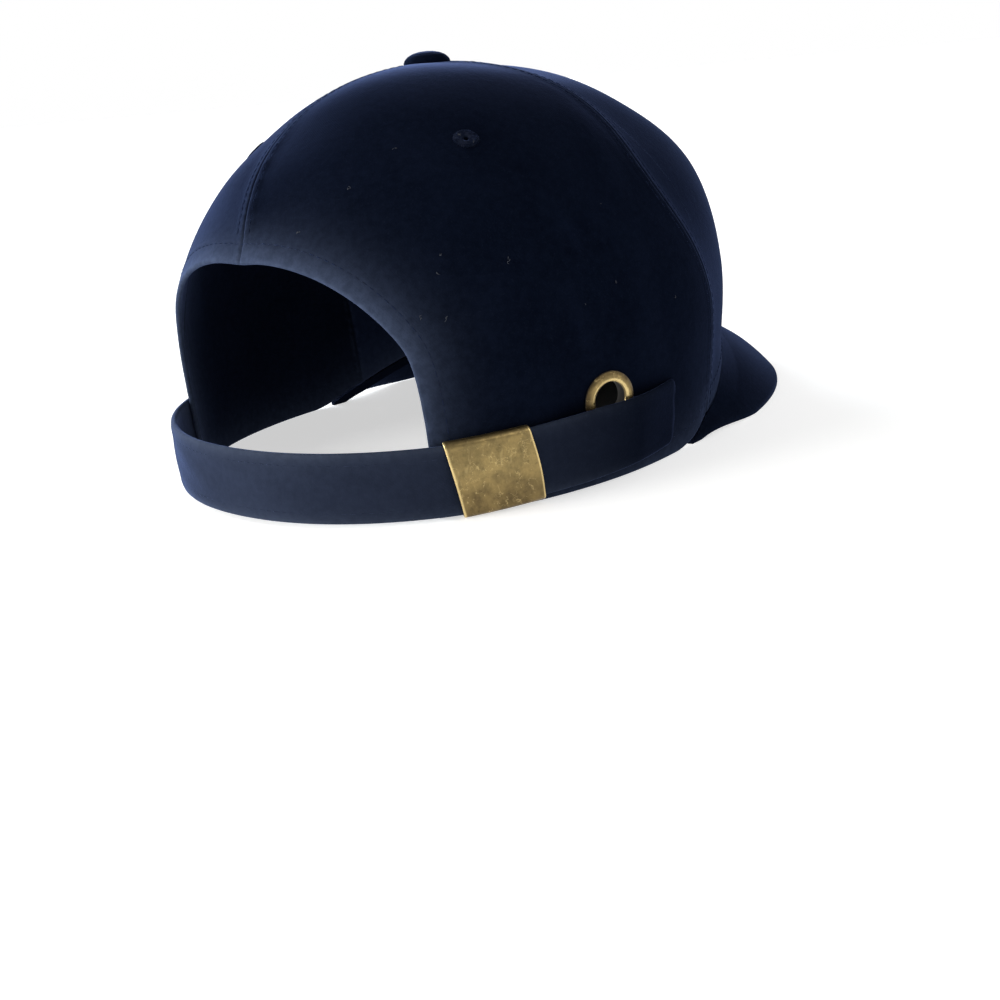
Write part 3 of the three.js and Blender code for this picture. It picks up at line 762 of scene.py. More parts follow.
def punch_hole(panel, centre, axes, radius):
    """Cut a round hole through a panel."""
    depth = PUNCH["depth"]
    bpy.ops.mesh.primitive_cylinder_add(vertices=PUNCH["sides"], radius=radius / 1000, depth=depth)
    punch = bpy.context.object
    turn = Matrix(axes.T.tolist()).to_4x4()
    punch.data.transform(Matrix.Translation(Vector(to_frame(centre))) @ turn)
    cut = panel.modifiers.new("hole", "BOOLEAN")
    cut.operation = "DIFFERENCE"
    cut.solver = "EXACT"
    cut.object = punch
    seen = panel.evaluated_get(bpy.context.evaluated_depsgraph_get())
    holed = bpy.data.meshes.new_from_object(seen)
    panel.modifiers.clear()
    panel.data = holed
    bpy.data.objects.remove(punch)


def turned(table, segments, closed, steps=5):
    """Points of a smooth outline turned about its axis, ring by ring, as radius, angle and rise."""
    rows = np.array([[row["radius"], row["rise"]] for row in table])
    if closed:
        rows = np.vstack([rows, rows[:1]])
    fine = []
    for i in range(len(rows) - 1):
        before = rows[i - 1] if i else (rows[-2] if closed else rows[0])
        after = rows[i + 2] if i + 2 < len(rows) else (rows[1] if closed else rows[-1])
        for w in np.arange(steps) / steps:
            v0 = CURVE_PULL * (rows[i + 1] - before)
            v1 = CURVE_PULL * (after - rows[i])
            bend = (2 * w ** 3 - 3 * w ** 2 + 1) * rows[i] + (w ** 3 - 2 * w ** 2 + w) * v0
            fine.append(bend + (3 * w ** 2 - 2 * w ** 3) * rows[i + 1] + (w ** 3 - w ** 2) * v1)
    if not closed:
        fine.append(rows[-1])
    fine = np.array(fine)
    angle = np.linspace(0, 2 * np.pi, segments, endpoint=False)
    return fine[:, :1], angle[None, :], fine[:, 1:]


def ring_points(radius, angle, rise):
    """Rings of points about the axis of a turned outline."""
    return np.stack(np.broadcast_arrays(radius * np.cos(angle), radius * np.sin(angle), rise), axis=-1)


def peak_solid(across=180, out_rows=46):
    """Peak: sewn edge follows the hem, free edge is an arched oval with a rolled rim."""
    p, c = PEAK, PEAK_CORNER
    share = crowd(across, p["crowding"])
    turn = lerp(PEAK_TURN, 360 - PEAK_TURN, share)
    hem = hem_height(turn)
    lift = lift_at_height(turn, hem)
    from_end = np.minimum(share, 1 - share)
    taper = smoothstep(from_end, 0, c["taper_share"])
    sewn = crown_point(turn, lift, -WALL)
    close = crown_point(turn, lift, lerp(*c["close"], taper))
    foot = crown_point(turn, lift, lerp(c["foot"], p["ledge"], taper))
    sewn[:, 2] = close[:, 2] = foot[:, 2] = hem - p["sewn_gap"]

    sweep = np.radians(lerp(-90, 90, share))
    wide = np.sign(sweep) * np.abs(np.sin(sweep)) ** (2 / p["plan"])
    long = np.abs(np.cos(sweep)) ** (2 / p["plan"])
    front = p["start_y"] - (p["start_y"] - p["front_y"]) * long
    edge = np.stack([p["half_width"] * wide, front, np.zeros(across)], axis=1)
    off = np.minimum(np.abs(edge[:, 0]) / p["arch_half"], 1)
    edge[:, 2] = p["side_top"] + p["arch"] * (1 - off ** 2) ** 2
    tip_width = p["tip_width"] * lerp(c["tip"], 1, taper)[:, None]
    tip_way = np.stack([np.sign(foot[:, 0]), -np.ones(across), np.zeros(across)], axis=1)
    free = smoothstep(from_end, 0, p["tip_share"])[:, None]
    edge = lerp(foot + tip_way * tip_width, edge, free)

    run = unit(edge - foot)
    rim = p["rim"] * np.minimum(np.linalg.norm(edge - foot, axis=1, keepdims=True), 1)
    inner_edge = edge - run * rim
    reach_out = np.linalg.norm(inner_edge - foot, axis=1, keepdims=True)
    cove_share = np.minimum(p["cove_run"] / reach_out, p["cove_most"])
    bend = np.linspace(0, 1, p["cove_rows"])[:, None, None]
    out_share = lerp(cove_share, 1, np.linspace(0, 1, out_rows)[:, None, None])
    w = np.concatenate([bend[:-1] * cove_share, out_share])
    plain = lerp(foot, inner_edge, w)
    plain[..., 2] += p["puff"] * np.sin(np.pi * w[..., 0]) * free[:, 0]
    thick = lerp(p["thick"], p["edge_thick"], w[..., 0] ** p["thin_power"])

    raised = smoothstep(from_end, *c["cove_share"])
    lip_lift = lift_at_height(turn, hem + p["cove_rise"] * raised)
    lip = crown_line(turn, lip_lift, lerp(*c["lip"], raised))[0]
    past_cove = plain[len(bend) - 1:]
    root = past_cove[0]
    corner = lerp((lip + root) / 2, foot, p["cove_bend"])
    cove = (1 - bend) ** 2 * lip + 2 * bend * (1 - bend) * corner + bend ** 2 * root
    top = np.concatenate([sewn[None], close[None], cove[:-1], past_cove])
    under = np.concatenate([sewn[None], close[None], plain])
    deep = np.concatenate([np.full((2, across), p["thick"]), thick])
    under[..., 2] = np.maximum(under[..., 2] - deep, 0)
    rolled = rolled_edge(top[-1], under[-1], run, p["rim_bends"], p["rim_roll"])
    points = np.concatenate([top, rolled, under[::-1]])
    index = grid_index(points)
    faces = [*grid_quads(index, wrap_rows=True), list(index[::-1, 0]), list(index[:, -1])]
    return build_mesh("cloth_peak", points.reshape(-1, 3), faces), edge


def strap_point(turn, height, out):
    """Point on the strap: turn along it, height across it, out from its inner face."""
    turn, height, out = np.broadcast_arrays(np.asarray(turn, float), height, out)
    lift = lift_at_height(turn, height)
    point = crown_point(turn, lift, table_at(STRAP_TABLE, "stand_off", turn) + out, dipped=False)
    point[..., 2] = height
    return point


def strap_cut(turn):
    """How far the strap's edges draw in at the round corners of its tail."""
    corner = math.degrees(STRAP["corner_radius"] / plain_reach(STRAP["end_turn"], STRAP["lift"]))
    past = np.clip((turn - STRAP["end_turn"] + corner) / corner, 0, 1)
    return STRAP["corner_radius"] * (1 - np.sqrt(1 - past ** 2))


def strap_edges(turn):
    """Heights of the strap's lower and upper edge."""
    low, cut = table_at(STRAP_TABLE, "low", turn), strap_cut(turn)
    return low + cut, low + STRAP["width"] - cut


def strap_solid(stations=300, across=30):
    """Strap as a soft folded band with rounded edges, a puffed middle and a thinner tail."""
    r = STRAP_RELIEF
    ease = np.linspace(0, 1, stations)
    turn = lerp(STRAP["start_turn"], STRAP["end_turn"], 1 - (1 - ease) ** r["spacing"])[:, None]
    low, high = strap_edges(turn)
    height = lerp(low, high, (1 - np.cos(np.pi * np.linspace(0, 1, across))) / 2)
    in_from_edge = np.minimum(height - low, high - height)
    half = STRAP["thick"] / 2
    rounded = half * np.sqrt(np.clip(1 - (1 - np.clip(in_from_edge / half, 0, 1)) ** 2, 0, 1))
    end = smoothstep(ease, 0, r["start_share"]) * (1 - smoothstep(ease, r["end_share"], 1))
    settle = smoothstep(turn, r["settle_turn"], STRAP["end_turn"])
    rounded = rounded * (1 - r["settle_thin"] * settle) * lerp(r["end_thick"], 1, end[:, None])
    half = half - r["settle_sink"] * settle
    puff = r["puff"] * smoothstep(in_from_edge, *r["puff_in"])
    puff -= r["groove"] * bell(in_from_edge - STRAP["row_in"], r["groove_width"])
    wave = r["wave"] * np.sin(np.radians(turn) * r["wave_turn"] + r["wave_height"] * height)
    wave *= smoothstep(in_from_edge, *r["wave_in"])
    outer = strap_point(turn, height, half + rounded + puff * (1 - settle) + wave)
    inner = strap_point(turn, height, half - rounded)
    points = np.concatenate([outer, inner[:, ::-1][:, 1:-1]], axis=1)
    index = grid_index(points)
    faces = [*grid_quads(index, wrap_columns=True), list(index[0][::-1]), list(index[-1])]
    return build_mesh("cloth_strap", points.reshape(-1, 3), faces)


def clasp_loop(turn, margin, front=40, back=14, fold=11):
    """Closed loop round the strap's section at one turn: a bowed face, a plain back and round folds."""
    half = STRAP["thick"] / 2
    low = table_at(STRAP_TABLE, "low", turn) + half
    high = low + STRAP["width"] - STRAP["thick"]
    up, down = np.linspace(0, 1, front), np.linspace(1, 0, back)
    swell = CLASP["bow"] * (1 - (2 * up - 1) ** 2) ** CLASP["bow_power"]
    bend = np.pi * np.linspace(0, 1, fold + 2)[1:-1]
    reach = half + margin
    height = np.concatenate([
        lerp(low, high, up), high + reach * np.sin(bend),
        lerp(low, high, down), low - reach * np.sin(bend),
    ])
    out = np.concatenate([
        half + reach + swell, half + reach * np.cos(bend),
        np.full(back, half - reach), half - reach * np.cos(bend),
    ])
    share = (height - low) / (high - low)
    return strap_point(turn + CLASP["slant"] * (share - 0.5), height, out)


def clasp_solid(stations=40):
    """Sleeve with rolled ends and round folds, and how far each point lies from the nearer end."""
    c = CLASP
    radius = math.degrees(c["wall"] / 2 / STRAP["radius"])
    turns = np.linspace(c["from_turn"] + radius, c["to_turn"] - radius, stations)
    angles = np.linspace(0, np.pi, c["end_rows"] + 2)[1:-1]
    margins = c["margin"] + c["wall"] / 2 * (1 + np.cos(angles))
    roll = radius * np.sin(angles)
    loops = [clasp_loop(turn, c["margin"] + c["wall"]) for turn in turns]
    loops += [clasp_loop(turn, margin) for turn, margin in zip(turns[-1] + roll, margins)]
    loops += [clasp_loop(turn, c["margin"]) for turn in turns[::-1]]
    loops += [clasp_loop(turn, margin) for turn, margin in zip(turns[0] - roll[::-1], margins[::-1])]
    points = np.array(loops)
    faces = grid_quads(grid_index(points), True, True)
    clasp = build_mesh("brass_clasp", points.reshape(-1, 3), faces, sharp_deg=60)
    inward = np.radians(np.minimum(turns - c["from_turn"], c["to_turn"] - turns)) * STRAP["radius"]
    ends, inside = np.zeros(c["end_rows"]), np.full(stations, c["inside_edge"])
    return clasp, np.repeat(np.concatenate([inward, ends, inside, ends]), points.shape[1])


# Node trees

class Wire:
    """One output of a node tree. Sums and products of wires and numbers add Math nodes."""

    def __init__(self, kit, socket):
        self.kit = kit
        self.socket = socket

    def out(self, name):
        return Wire(self.kit, self.socket.node.outputs[name])

    def math(self, operation, other, swapped=False):
        pair = (other, self) if swapped else (self, other)
        return self.kit.add("ShaderNodeMath", {"operation": operation}, {0: pair[0], 1: pair[1]})

    def __add__(self, other):
        return self.math("ADD", other)

    def __sub__(self, other):
        return self.math("SUBTRACT", other)

    def __rsub__(self, other):
        return self.math("SUBTRACT", other, swapped=True)

    def __mul__(self, other):
        return self.math("MULTIPLY", other)

    __radd__ = __add__
    __rmul__ = __mul__


class NodeKit:
    """Adds nodes to one tree: settings first, then the values or links of its sockets."""

    def __init__(self, tree):
        self.tree = tree
        self.tree.nodes.clear()

    def add(self, kind, settings=None, sockets=None, output=0):
        node = self.tree.nodes.new(kind)
        for key, value in (settings or {}).items():
            setattr(node, key, value)
        for key, value in (sockets or {}).items():
            if isinstance(value, Wire):
                self.tree.links.new(value.socket, node.inputs[key])
            else:
                node.inputs[key].default_value = value
        return Wire(self, node.outputs[output]) if len(node.outputs) else None

    def place(self):
        """Place on the piece, in metres."""
        return self.add("ShaderNodeTexCoord", output="Object")

    def attribute(self, name):
        """Mark of a piece at each point."""
        return self.add("ShaderNodeAttribute", {"attribute_name": name}, output="Fac")

    def function(self, operation, value):
        """Math of one value."""
        return self.add("ShaderNodeMath", {"operation": operation}, {0: value})

    def noise(self, place, scale, detail=2.0, roughness=0.5):
        sockets = {"Vector": place, "Scale": scale, "Detail": detail, "Roughness": roughness}
        return self.add("ShaderNodeTexNoise", {"noise_dimensions": "3D"}, sockets)

    def ramp(self, value, low, high, start=0.0, end=1.0):
        """Smooth step of a value between two stops."""
        settings = {"interpolation_type": "SMOOTHSTEP"}
        sockets = {"Value": value, "From Min": low, "From Max": high, "To Min": start, "To Max": end}
        return self.add("ShaderNodeMapRange", settings, sockets)

    def blend(self, share, first, second):
        """Mix of two colours, each a wire or three numbers."""
        first, second = (tone if isinstance(tone, Wire) else (*tone, 1) for tone in (first, second))
        sockets = {0: share, 6: first, 7: second}
        return self.add("ShaderNodeMix", {"data_type": "RGBA"}, sockets, output=2)


def new_material(name):
    material = bpy.data.materials.new(name)
    material.use_nodes = True
    return material, NodeKit(material.node_tree)


def close_material(kit, surface, height=None, bump=0.3, depth=0.0004):
    """Principled surface with an optional bump from a height."""
    if height is not None:
        sockets = {"Strength": bump, "Distance": depth, "Height": height}
        surface["Normal"] = kit.add("ShaderNodeBump", None, sockets)
    shader = kit.add("ShaderNodeBsdfPrincipled", None, surface)
    kit.add("ShaderNodeOutputMaterial", None, {"Surface": shader})


def nap_finish(colours):
    """Settings that are the same all over a surface with a nap."""
    return {
        "Specular IOR Level": 0.0,
        "Sheen Weight": colours.sheen,
        "Sheen Roughness": NAP_ROUGHNESS,
        "Sheen Tint": (*colours.sheen_tint, 1),
    }


def brushed_cloth(name, deep, main, worn_lit_tone, glow_and_wear_reach, colours):
    """Brushed cotton twill: soft nap, faint clouding, paler fibres along worn edges with painted glow, and
    painted light and painted shade where the pale and shade marks lie.
    """
    material, kit = new_material(name)
    place = kit.place()
    flat = kit.add("ShaderNodeUVMap", {"uv_map": "cloth"})
    edge, seam = kit.attribute("edge"), kit.attribute("seam")
    pale, shade = kit.attribute("pale"), kit.attribute("shade")
    split = kit.add("ShaderNodeSeparateXYZ", None, {"Vector": flat})
    across, up = split.out("X"), split.out("Y")

    cloud = kit.noise(place, CLOTH_NOISE["cloud"], 3.0)
    nap = kit.noise(place, CLOTH_NOISE["nap"], 4.0, 0.62)
    grain = kit.noise(place, CLOTH_NOISE["grain"])
    rib = kit.function("SINE", (across + up) * (2 * math.pi / CLOTH_NOISE["rib"]))
    yarn = kit.function("SINE", (across - up) * (2 * math.pi / CLOTH_NOISE["yarn"]))

    # Paler towards the edges: rubbed nap, and painted glow of the light along the arch, the hem and the
    # strap's edges
    worn = kit.function("EXPONENT", edge * (-1 / glow_and_wear_reach))
    worn = worn * kit.ramp(nap, 0.3, 0.7, 0.7, 1.0)
    rubbed = kit.ramp(seam, 2.6, 0.8) * kit.ramp(seam, 0.2, 0.9) * kit.ramp(nap, 0.35, 0.7)
    tone = kit.ramp(cloud, 0.3, 0.7) * 0.5 + kit.ramp(nap, 0.28, 0.72) * 0.5
    cloth = kit.blend(tone, deep, main)
    # Painted light where the pale mark lies
    cloth = kit.blend(pale * kit.ramp(nap, 0.3, 0.7, 0.75, 1.0), cloth, colours.cloth_lit_tone)
    # Painted shade where the shade mark lies
    cloth = kit.blend(shade, cloth, colours.cloth_deep_and_shade)
    cloth = kit.blend(kit.ramp(grain, 0.55, 0.8) * 0.05, cloth, worn_lit_tone)
    # Worn edges with painted glow, held back where painted shade lies
    cloth = kit.blend((worn + rubbed * 0.12) * (1 - shade), cloth, worn_lit_tone)
    height = nap * 0.6 + grain * 0.4 + rib * 0.04 + yarn * 0.02
    rough = kit.ramp(nap, 0.3, 0.7, 0.86, 0.97)
    surface = {"Base Color": cloth, "Roughness": rough, **nap_finish(colours)}
    close_material(kit, surface, height, bump=0.3, depth=0.0005)
    return material


def tonal_thread(name, deep, main, colours):
    """Matt sewing thread in the tone of its cloth."""
    material, kit = new_material(name)
    place = kit.place()
    strand = kit.noise(place, THREAD_NOISE["strand"])
    worn = kit.noise(place, THREAD_NOISE["worn"])
    tone = kit.ramp(strand, 0.3, 0.7) * 0.3 + kit.ramp(worn, 0.42, 0.60) * 0.7
    rough = kit.ramp(strand, 0.3, 0.7, 0.8, 0.95)
    surface = {"Base Color": kit.blend(tone, deep, main), "Roughness": rough, **nap_finish(colours)}
    close_material(kit, surface, strand, bump=0.4, depth=0.0002)
    return material


def worn_brass(colours):
    """Worn brass: bright rubbed edges that are partly a painted highlight, mottled brown and olive patina,
    fine scratches, and painted shade where the shade mark lies.
    """
    material, kit = new_material("worn_brass")
    place = kit.place()
    edge, dull, shade = kit.attribute("edge"), kit.attribute("dull"), kit.attribute("shade")
    patch = kit.noise(place, BRASS_NOISE["patch"], 5.0, 0.62)
    mottle = kit.noise(place, BRASS_NOISE["mottle"], 5.0, 0.7)
    pit = kit.noise(place, BRASS_NOISE["pit"])
    curl = kit.function("ABSOLUTE", kit.noise(place, BRASS_NOISE["curl"], 3.0, 0.55) - 0.5)
    gap = kit.noise(place, BRASS_NOISE["gap"])
    turn = {"Vector": place, "Rotation": BRASS_STREAK["turn"], "Scale": BRASS_STREAK["scale"]}
    streak = kit.noise(kit.add("ShaderNodeMapping", None, turn), 1.0, 3.0)
    scratch = kit.ramp(curl, 0.016, 0.003) * kit.ramp(gap, 0.42, 0.56) + kit.ramp(streak, 0.58, 0.70) * 0.6

    tarnish = kit.ramp(patch, 0.36, 0.64) * 0.6 + kit.ramp(mottle, 0.36, 0.66) * 0.4
    # Rubbed edges, partly a painted highlight along the rims
    rim = kit.ramp(edge, 0.95, 0.2)
    bright = rim * 0.9 + scratch * 0.4
    metal = kit.blend(tarnish, colours.brass, colours.brass_olive)
    metal = kit.blend(kit.ramp(mottle, 0.58, 0.76) * 0.5, metal, colours.brass_brown)
    # Darker, duller brass where the dull mark lies: patina, and painted shade on the clasp's foot
    metal = kit.blend(dull * kit.ramp(patch, 0.3, 0.7, 0.55, 1.0), metal, colours.brass_brown)
    metal = kit.blend(kit.ramp(bright, 0.0, 1.0), metal, colours.brass_rubbed_and_lit)
    # Painted shade: near black, matt and not metallic inside the grommet's barrel
    metal = kit.blend(shade, metal, colours.brass_painted_shade)
    rough = kit.ramp(patch, 0.35, 0.7, 0.30, 0.44) + kit.ramp(mottle, 0.4, 0.7, 0.0, 0.1) + dull * 0.06
    rough = rough - rim * 0.1 + shade * 0.5
    height = mottle * 0.45 + pit * 0.3 - scratch * 0.3
    surface = {"Base Color": metal, "Metallic": 1 - shade, "Roughness": rough}
    close_material(kit, surface, height, bump=0.2, depth=0.0003)
    return material


def pale_lint(colours):
    """Matt pale fibres."""
    material, kit = new_material("pale_lint")
    tone = kit.blend(kit.noise(kit.place(), LINT_NOISE, 1.0), colours.lint_deep, colours.lint)
    close_material(kit, {"Base Color": tone, "Roughness": 0.9})
    return material


def stage_paper(glow):
    """Pale paper that glows by itself, as if lit from below, so that shadows on it stay light; deep in the
    hollow it has a painted shadow and no glow.
    """
    material, kit = new_material("stage_paper")
    place = kit.place()
    paper = kit.blend(kit.noise(place, PAPER["noise"]), PAPER["low"], PAPER["high"])
    # Painted shadow: the paper turns dark and stops glowing in the spot under the cap
    sockets = {0: place, 1: in_frame(SHADE_SPOT["x"], SHADE_SPOT["y"], 0)}
    away = kit.add("ShaderNodeVectorMath", {"operation": "DISTANCE"}, sockets, output="Value")
    far = (SHADE_SPOT["radius"] + SHADE_SPOT["soft"]) / 1000
    lit = kit.ramp(away, SHADE_SPOT["radius"] / 1000, far)
    close_material(kit, {
        "Base Color": kit.blend(lit, PAPER["spot"], paper),
        "Roughness": 0.95,
        "Specular IOR Level": 0.1,
        "Emission Color": kit.blend(lit, BLACK, WHITE),
        "Emission Strength": glow,
    })
    return material


# Geometry node trees

class ShapeKit(NodeKit):
    """Node kit for a geometry tree with named inputs, ending in real mesh with one material."""

    def __init__(self, name, inputs):
        tree = bpy.data.node_groups.new(name, "GeometryNodeTree")
        super().__init__(tree)
        tree.interface.new_socket("Geometry", in_out="INPUT", socket_type="NodeSocketGeometry")
        for label, kind in inputs:
            tree.interface.new_socket(label, in_out="INPUT", socket_type=kind)
        tree.interface.new_socket("Geometry", in_out="OUTPUT", socket_type="NodeSocketGeometry")
        self.start = self.add("NodeGroupInput")

    def close(self, instances):
        real = self.add("GeometryNodeRealizeInstances", None, {"Geometry": instances})
        smooth = self.add("GeometryNodeSetShadeSmooth", None, {"Geometry": real})
        sockets = {"Geometry": smooth, "Material": self.start.out("Material")}
        painted = self.add("GeometryNodeSetMaterial", None, sockets)
        self.add("NodeGroupOutput", None, {"Geometry": painted})
        return self.tree


def stitch_rows_tree():
    """Grains of thread laid end to end along every line of a mesh, standing on its outward attribute."""
    inputs = (
        ("Pitch", "NodeSocketFloat"), ("Length", "NodeSocketFloat"), ("Width", "NodeSocketFloat"),
        ("Thread", "NodeSocketFloat"), ("Material", "NodeSocketMaterial"),
    )
    kit = ShapeKit("stitch_rows", inputs)
    start = kit.start
    line = kit.add("GeometryNodeMeshToCurve", None, {"Mesh": start.out("Geometry")})
    sockets = {"Curve": line, "Length": start.out("Pitch")}
    spaced = kit.add("GeometryNodeResampleCurve", {"mode": "LENGTH"}, sockets)
    grain = kit.add("GeometryNodeMeshUVSphere", None, {"Segments": 8, "Rings": 5, "Radius": 0.5})
    sizes = {"X": start.out("Length"), "Y": start.out("Width"), "Z": start.out("Thread")}
    size = kit.add("ShaderNodeCombineXYZ", None, sizes)
    grain = kit.add("GeometryNodeTransform", None, {"Geometry": grain, "Scale": size})
    up = kit.add("GeometryNodeInputNamedAttribute", {"data_type": "FLOAT_VECTOR"}, {"Name": "outward"})
    along = kit.add("GeometryNodeInputTangent")
    axes = {"primary_axis": "Z", "secondary_axis": "X"}
    facing = kit.add("FunctionNodeAxesToRotation", axes, {"Primary Axis": up, "Secondary Axis": along})
    sockets = {"Points": spaced, "Instance": grain, "Rotation": facing}
    return kit.close(kit.add("GeometryNodeInstanceOnPoints", None, sockets))


def grow(name, source, tree, values):
    """Run a geometry tree on a source object and keep its result as a plain mesh object."""
    rule = source.modifiers.new("rule", "NODES")
    rule.node_group = tree
    for item in tree.interface.items_tree:
        if item.in_out == "INPUT" and item.name in values:
            rule[item.identifier] = values[item.name]
    seen = source.evaluated_get(bpy.context.evaluated_depsgraph_get())
    mesh = bpy.data.meshes.new_from_object(seen)
    mesh.name = name
    source.modifiers.clear()
    bpy.data.objects.remove(source)
    return add_object(name, mesh)


def line_object(name, lines):
    """Mesh of open lines, each a pair of point and outward arrays, for the stitch tree."""
    points = np.concatenate([line[0] for line in lines])
    outward = np.concatenate([line[1] for line in lines])
    links, start = [], 0
    for line, _ in lines:
        links += [(start + i, start + i + 1) for i in range(len(line) - 1)]
        start += len(line)
    mesh = bpy.data.meshes.new(name)
    mesh.from_pydata(to_frame(points).tolist(), links, [])
    layer = mesh.attributes.new("outward", "FLOAT_VECTOR", "POINT")
    layer.data.foreach_set("vector", outward.astype(np.float32).ravel())
    return add_object(name, mesh)


def crown_line(turn, lift, rise):
    """Line on the finished crown cloth, with the way out of the cloth at each point."""
    skin, out = crown_skin(turn, lift), crown_normal(turn, lift)
    return skin + out * (panel_relief(turn, lift, skin, off_hem(skin)) + rise)[:, None], out


def seam_rows(seam, low, rise):
    """A stitch row on each side of a seam."""
    lift = np.linspace(low, SEAM_ROW["high"], SEAM_ROW["points"])
    radius = plain_reach(seam(lift), lift) * np.cos(np.radians(lift))
    off = np.degrees(SEAM_RELIEF["row"] / radius)
    return [crown_line(seam(lift) + side * off, lift, rise) for side in (-1, 1)]


def hem_row(from_turn, to_turn, inset, rise):
    """A stitch row that keeps its distance from the crown's lower edge."""
    turn, lift, points = hem_line(from_turn, to_turn, HEM_ROW["points"])
    turn_shift, lift_shift, _ = hem_inset(turn, lift, points, inset, HEM_ROW["smooth"])
    return crown_line(turn + turn_shift, lift + lift_shift, rise)


def strap_rows(from_turn, to_turn, rise):
    """Stitch rows along both edges of the strap."""
    turn = np.linspace(from_turn, to_turn, STRAP_ROW["points"])
    low = table_at(STRAP_TABLE, "low", turn)
    out = crown_normal(turn, np.full(turn.shape, STRAP["lift"]))
    heights = (low + STRAP["row_in"], low + STRAP["width"] - STRAP["row_in"])
    return [(strap_point(turn, height, STRAP["thick"] + rise), out) for height in heights]


def sew_rows(name, rows, thread, pitch, run, width, thickness):
    """Lay stitches along rows and keep them as one piece."""
    values = {"Pitch": pitch, "Length": run, "Width": width, "Thread": thickness, "Material": thread}
    tree = bpy.data.node_groups.get("stitch_rows") or stitch_rows_tree()
    place_piece(grow(name, line_object(name + "_lines", rows), tree, values), thread, CLOTH_SLOT)


# Settings

def measure(name, text, default):
    return FloatProperty(name=name, description=text, default=default, min=0.0, unit="LENGTH", precision=5)


def colour(name, text, default):
    return FloatVectorProperty(
        name=name, description=text, default=default, subtype="COLOR", size=3, min=0, max=1)


def strength(name, text, default):
    return FloatProperty(name=name, description=text, default=default, min=0.0)


def angle_setting(name, text, degrees):
    return FloatProperty(name=name, description=text, default=math.radians(degrees), subtype="ANGLE")


def place_setting(name, text, point):
    return FloatVectorProperty(name=name, description=text, default=point, subtype="XYZ", unit="LENGTH")


def in_frame(x, y, z):
    """Point of the hem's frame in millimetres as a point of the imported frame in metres."""
    return tuple(to_frame(np.array([x, y, z])))


class CapStitching(bpy.types.PropertyGroup):
    """Sizes of the tonal stitching."""

    pitch: measure("Pitch", "Distance from one stitch to the next", 0.0027)
    run: measure("Stitch length", "Length of thread that shows in one stitch", 0.0021)
    thread: measure("Thread", "Thickness of the sewing thread", 0.00028)
    eyelet: measure("Eyelet", "Outer width of an embroidered eyelet", 0.0074)


class CapColours(bpy.types.PropertyGroup):
    """Colours of the cloth, the thread and the brass."""

    cloth: colour("Cloth", "Navy of the nap", (0.0032, 0.0052, 0.0125))
    # Deep navy between the fibres, also the colour of painted shade
    cloth_deep_and_shade: colour("Cloth depth", "Navy between the fibres", (0.0016, 0.0027, 0.0068))
    # Paler edge tone: rubbed nap and painted glow of light
    cloth_worn_lit: colour("Worn cloth", "Paler fibres on rubbed edges", (0.046, 0.061, 0.104))
    # Paler, bluer navy: painted light on the nap, and a tone of the threads
    cloth_lit_tone: colour("Faded cloth", "Bluer nap on the side that has faded", (0.0105, 0.0165, 0.0400))
    # Tone of the strap where the light falls on it; painted shade darkens it towards the tail
    strap: colour("Strap", "Smoother cloth of the strap", (0.0215, 0.0285, 0.0505))
    strap_deep: colour("Strap depth", "Navy between the strap's fibres", (0.0150, 0.0200, 0.0360))
    # Paler edge tone of the strap: rubbed nap and painted glow of light
    strap_worn_lit: colour("Worn strap", "Paler fibres on the strap's edges", (0.060, 0.075, 0.110))
    sheen: FloatProperty(
        name="Nap", description="Strength of the soft glow of the nap", default=0.22, min=0, max=1)
    sheen_tint: colour("Nap tint", "Tint of the glow of the nap", (0.34, 0.47, 1.0))
    eyelet: colour("Eyelet", "Worn thread of the eyelets", (0.0135, 0.0170, 0.0305))
    brass: colour("Brass", "Main tone of the clasp", (0.330, 0.239, 0.096))
    # Rubbed brass of edges and scratches, also the colour of the painted highlight on the rims
    brass_rubbed_and_lit: colour("Rubbed brass", "Tone of rubbed edges and scratches", (0.72, 0.55, 0.25))
    brass_olive: colour("Olive patina", "Tone of the broad patina", (0.208, 0.156, 0.070))
    brass_brown: colour("Brown patina", "Tone of the darkest patina", (0.080, 0.054, 0.027))
    # Colour of the painted shade inside the grommet's barrel
    brass_painted_shade: colour("Black patina", "Tone inside the grommet", (0.006, 0.005, 0.004))
    lint: colour("Lint", "Pale fibres caught on the cloth", (0.050, 0.055, 0.068))
    lint_deep: colour("Lint depth", "Shade of the pale fibres", (0.022, 0.025, 0.033))


class CapStage(bpy.types.PropertyGroup):
    """Camera and lights."""

    camera: place_setting("Camera", "Place of the camera", in_frame(-295.84, 344.63, 116.57))
    target: place_setting("Target", "Point that the camera looks at", in_frame(-11.10, -0.57, -23.55))
    roll: angle_setting("Roll", "Lean of the camera", -5.163)
    lens: FloatProperty(name="Lens", description="Focal length in millimetres", default=48.32, min=10)
    window: strength("Window", "Strength of the low light from the far left", 6.7)
    side: strength("Side light", "Strength of the low light from the near left", 4.5)
    fill: strength("Fill light", "Strength of the high light from the right", 0.8)
    spread: angle_setting("Spread", "Width of the lights", 40)
    near_side: strength("Near side", "Brightness of the dim side of the room", 0.05)
    ceiling: strength("Ceiling", "Brightness straight above", 0.5)
    glow: strength("Floor glow", "Light that the floor gives by itself", 0.6)


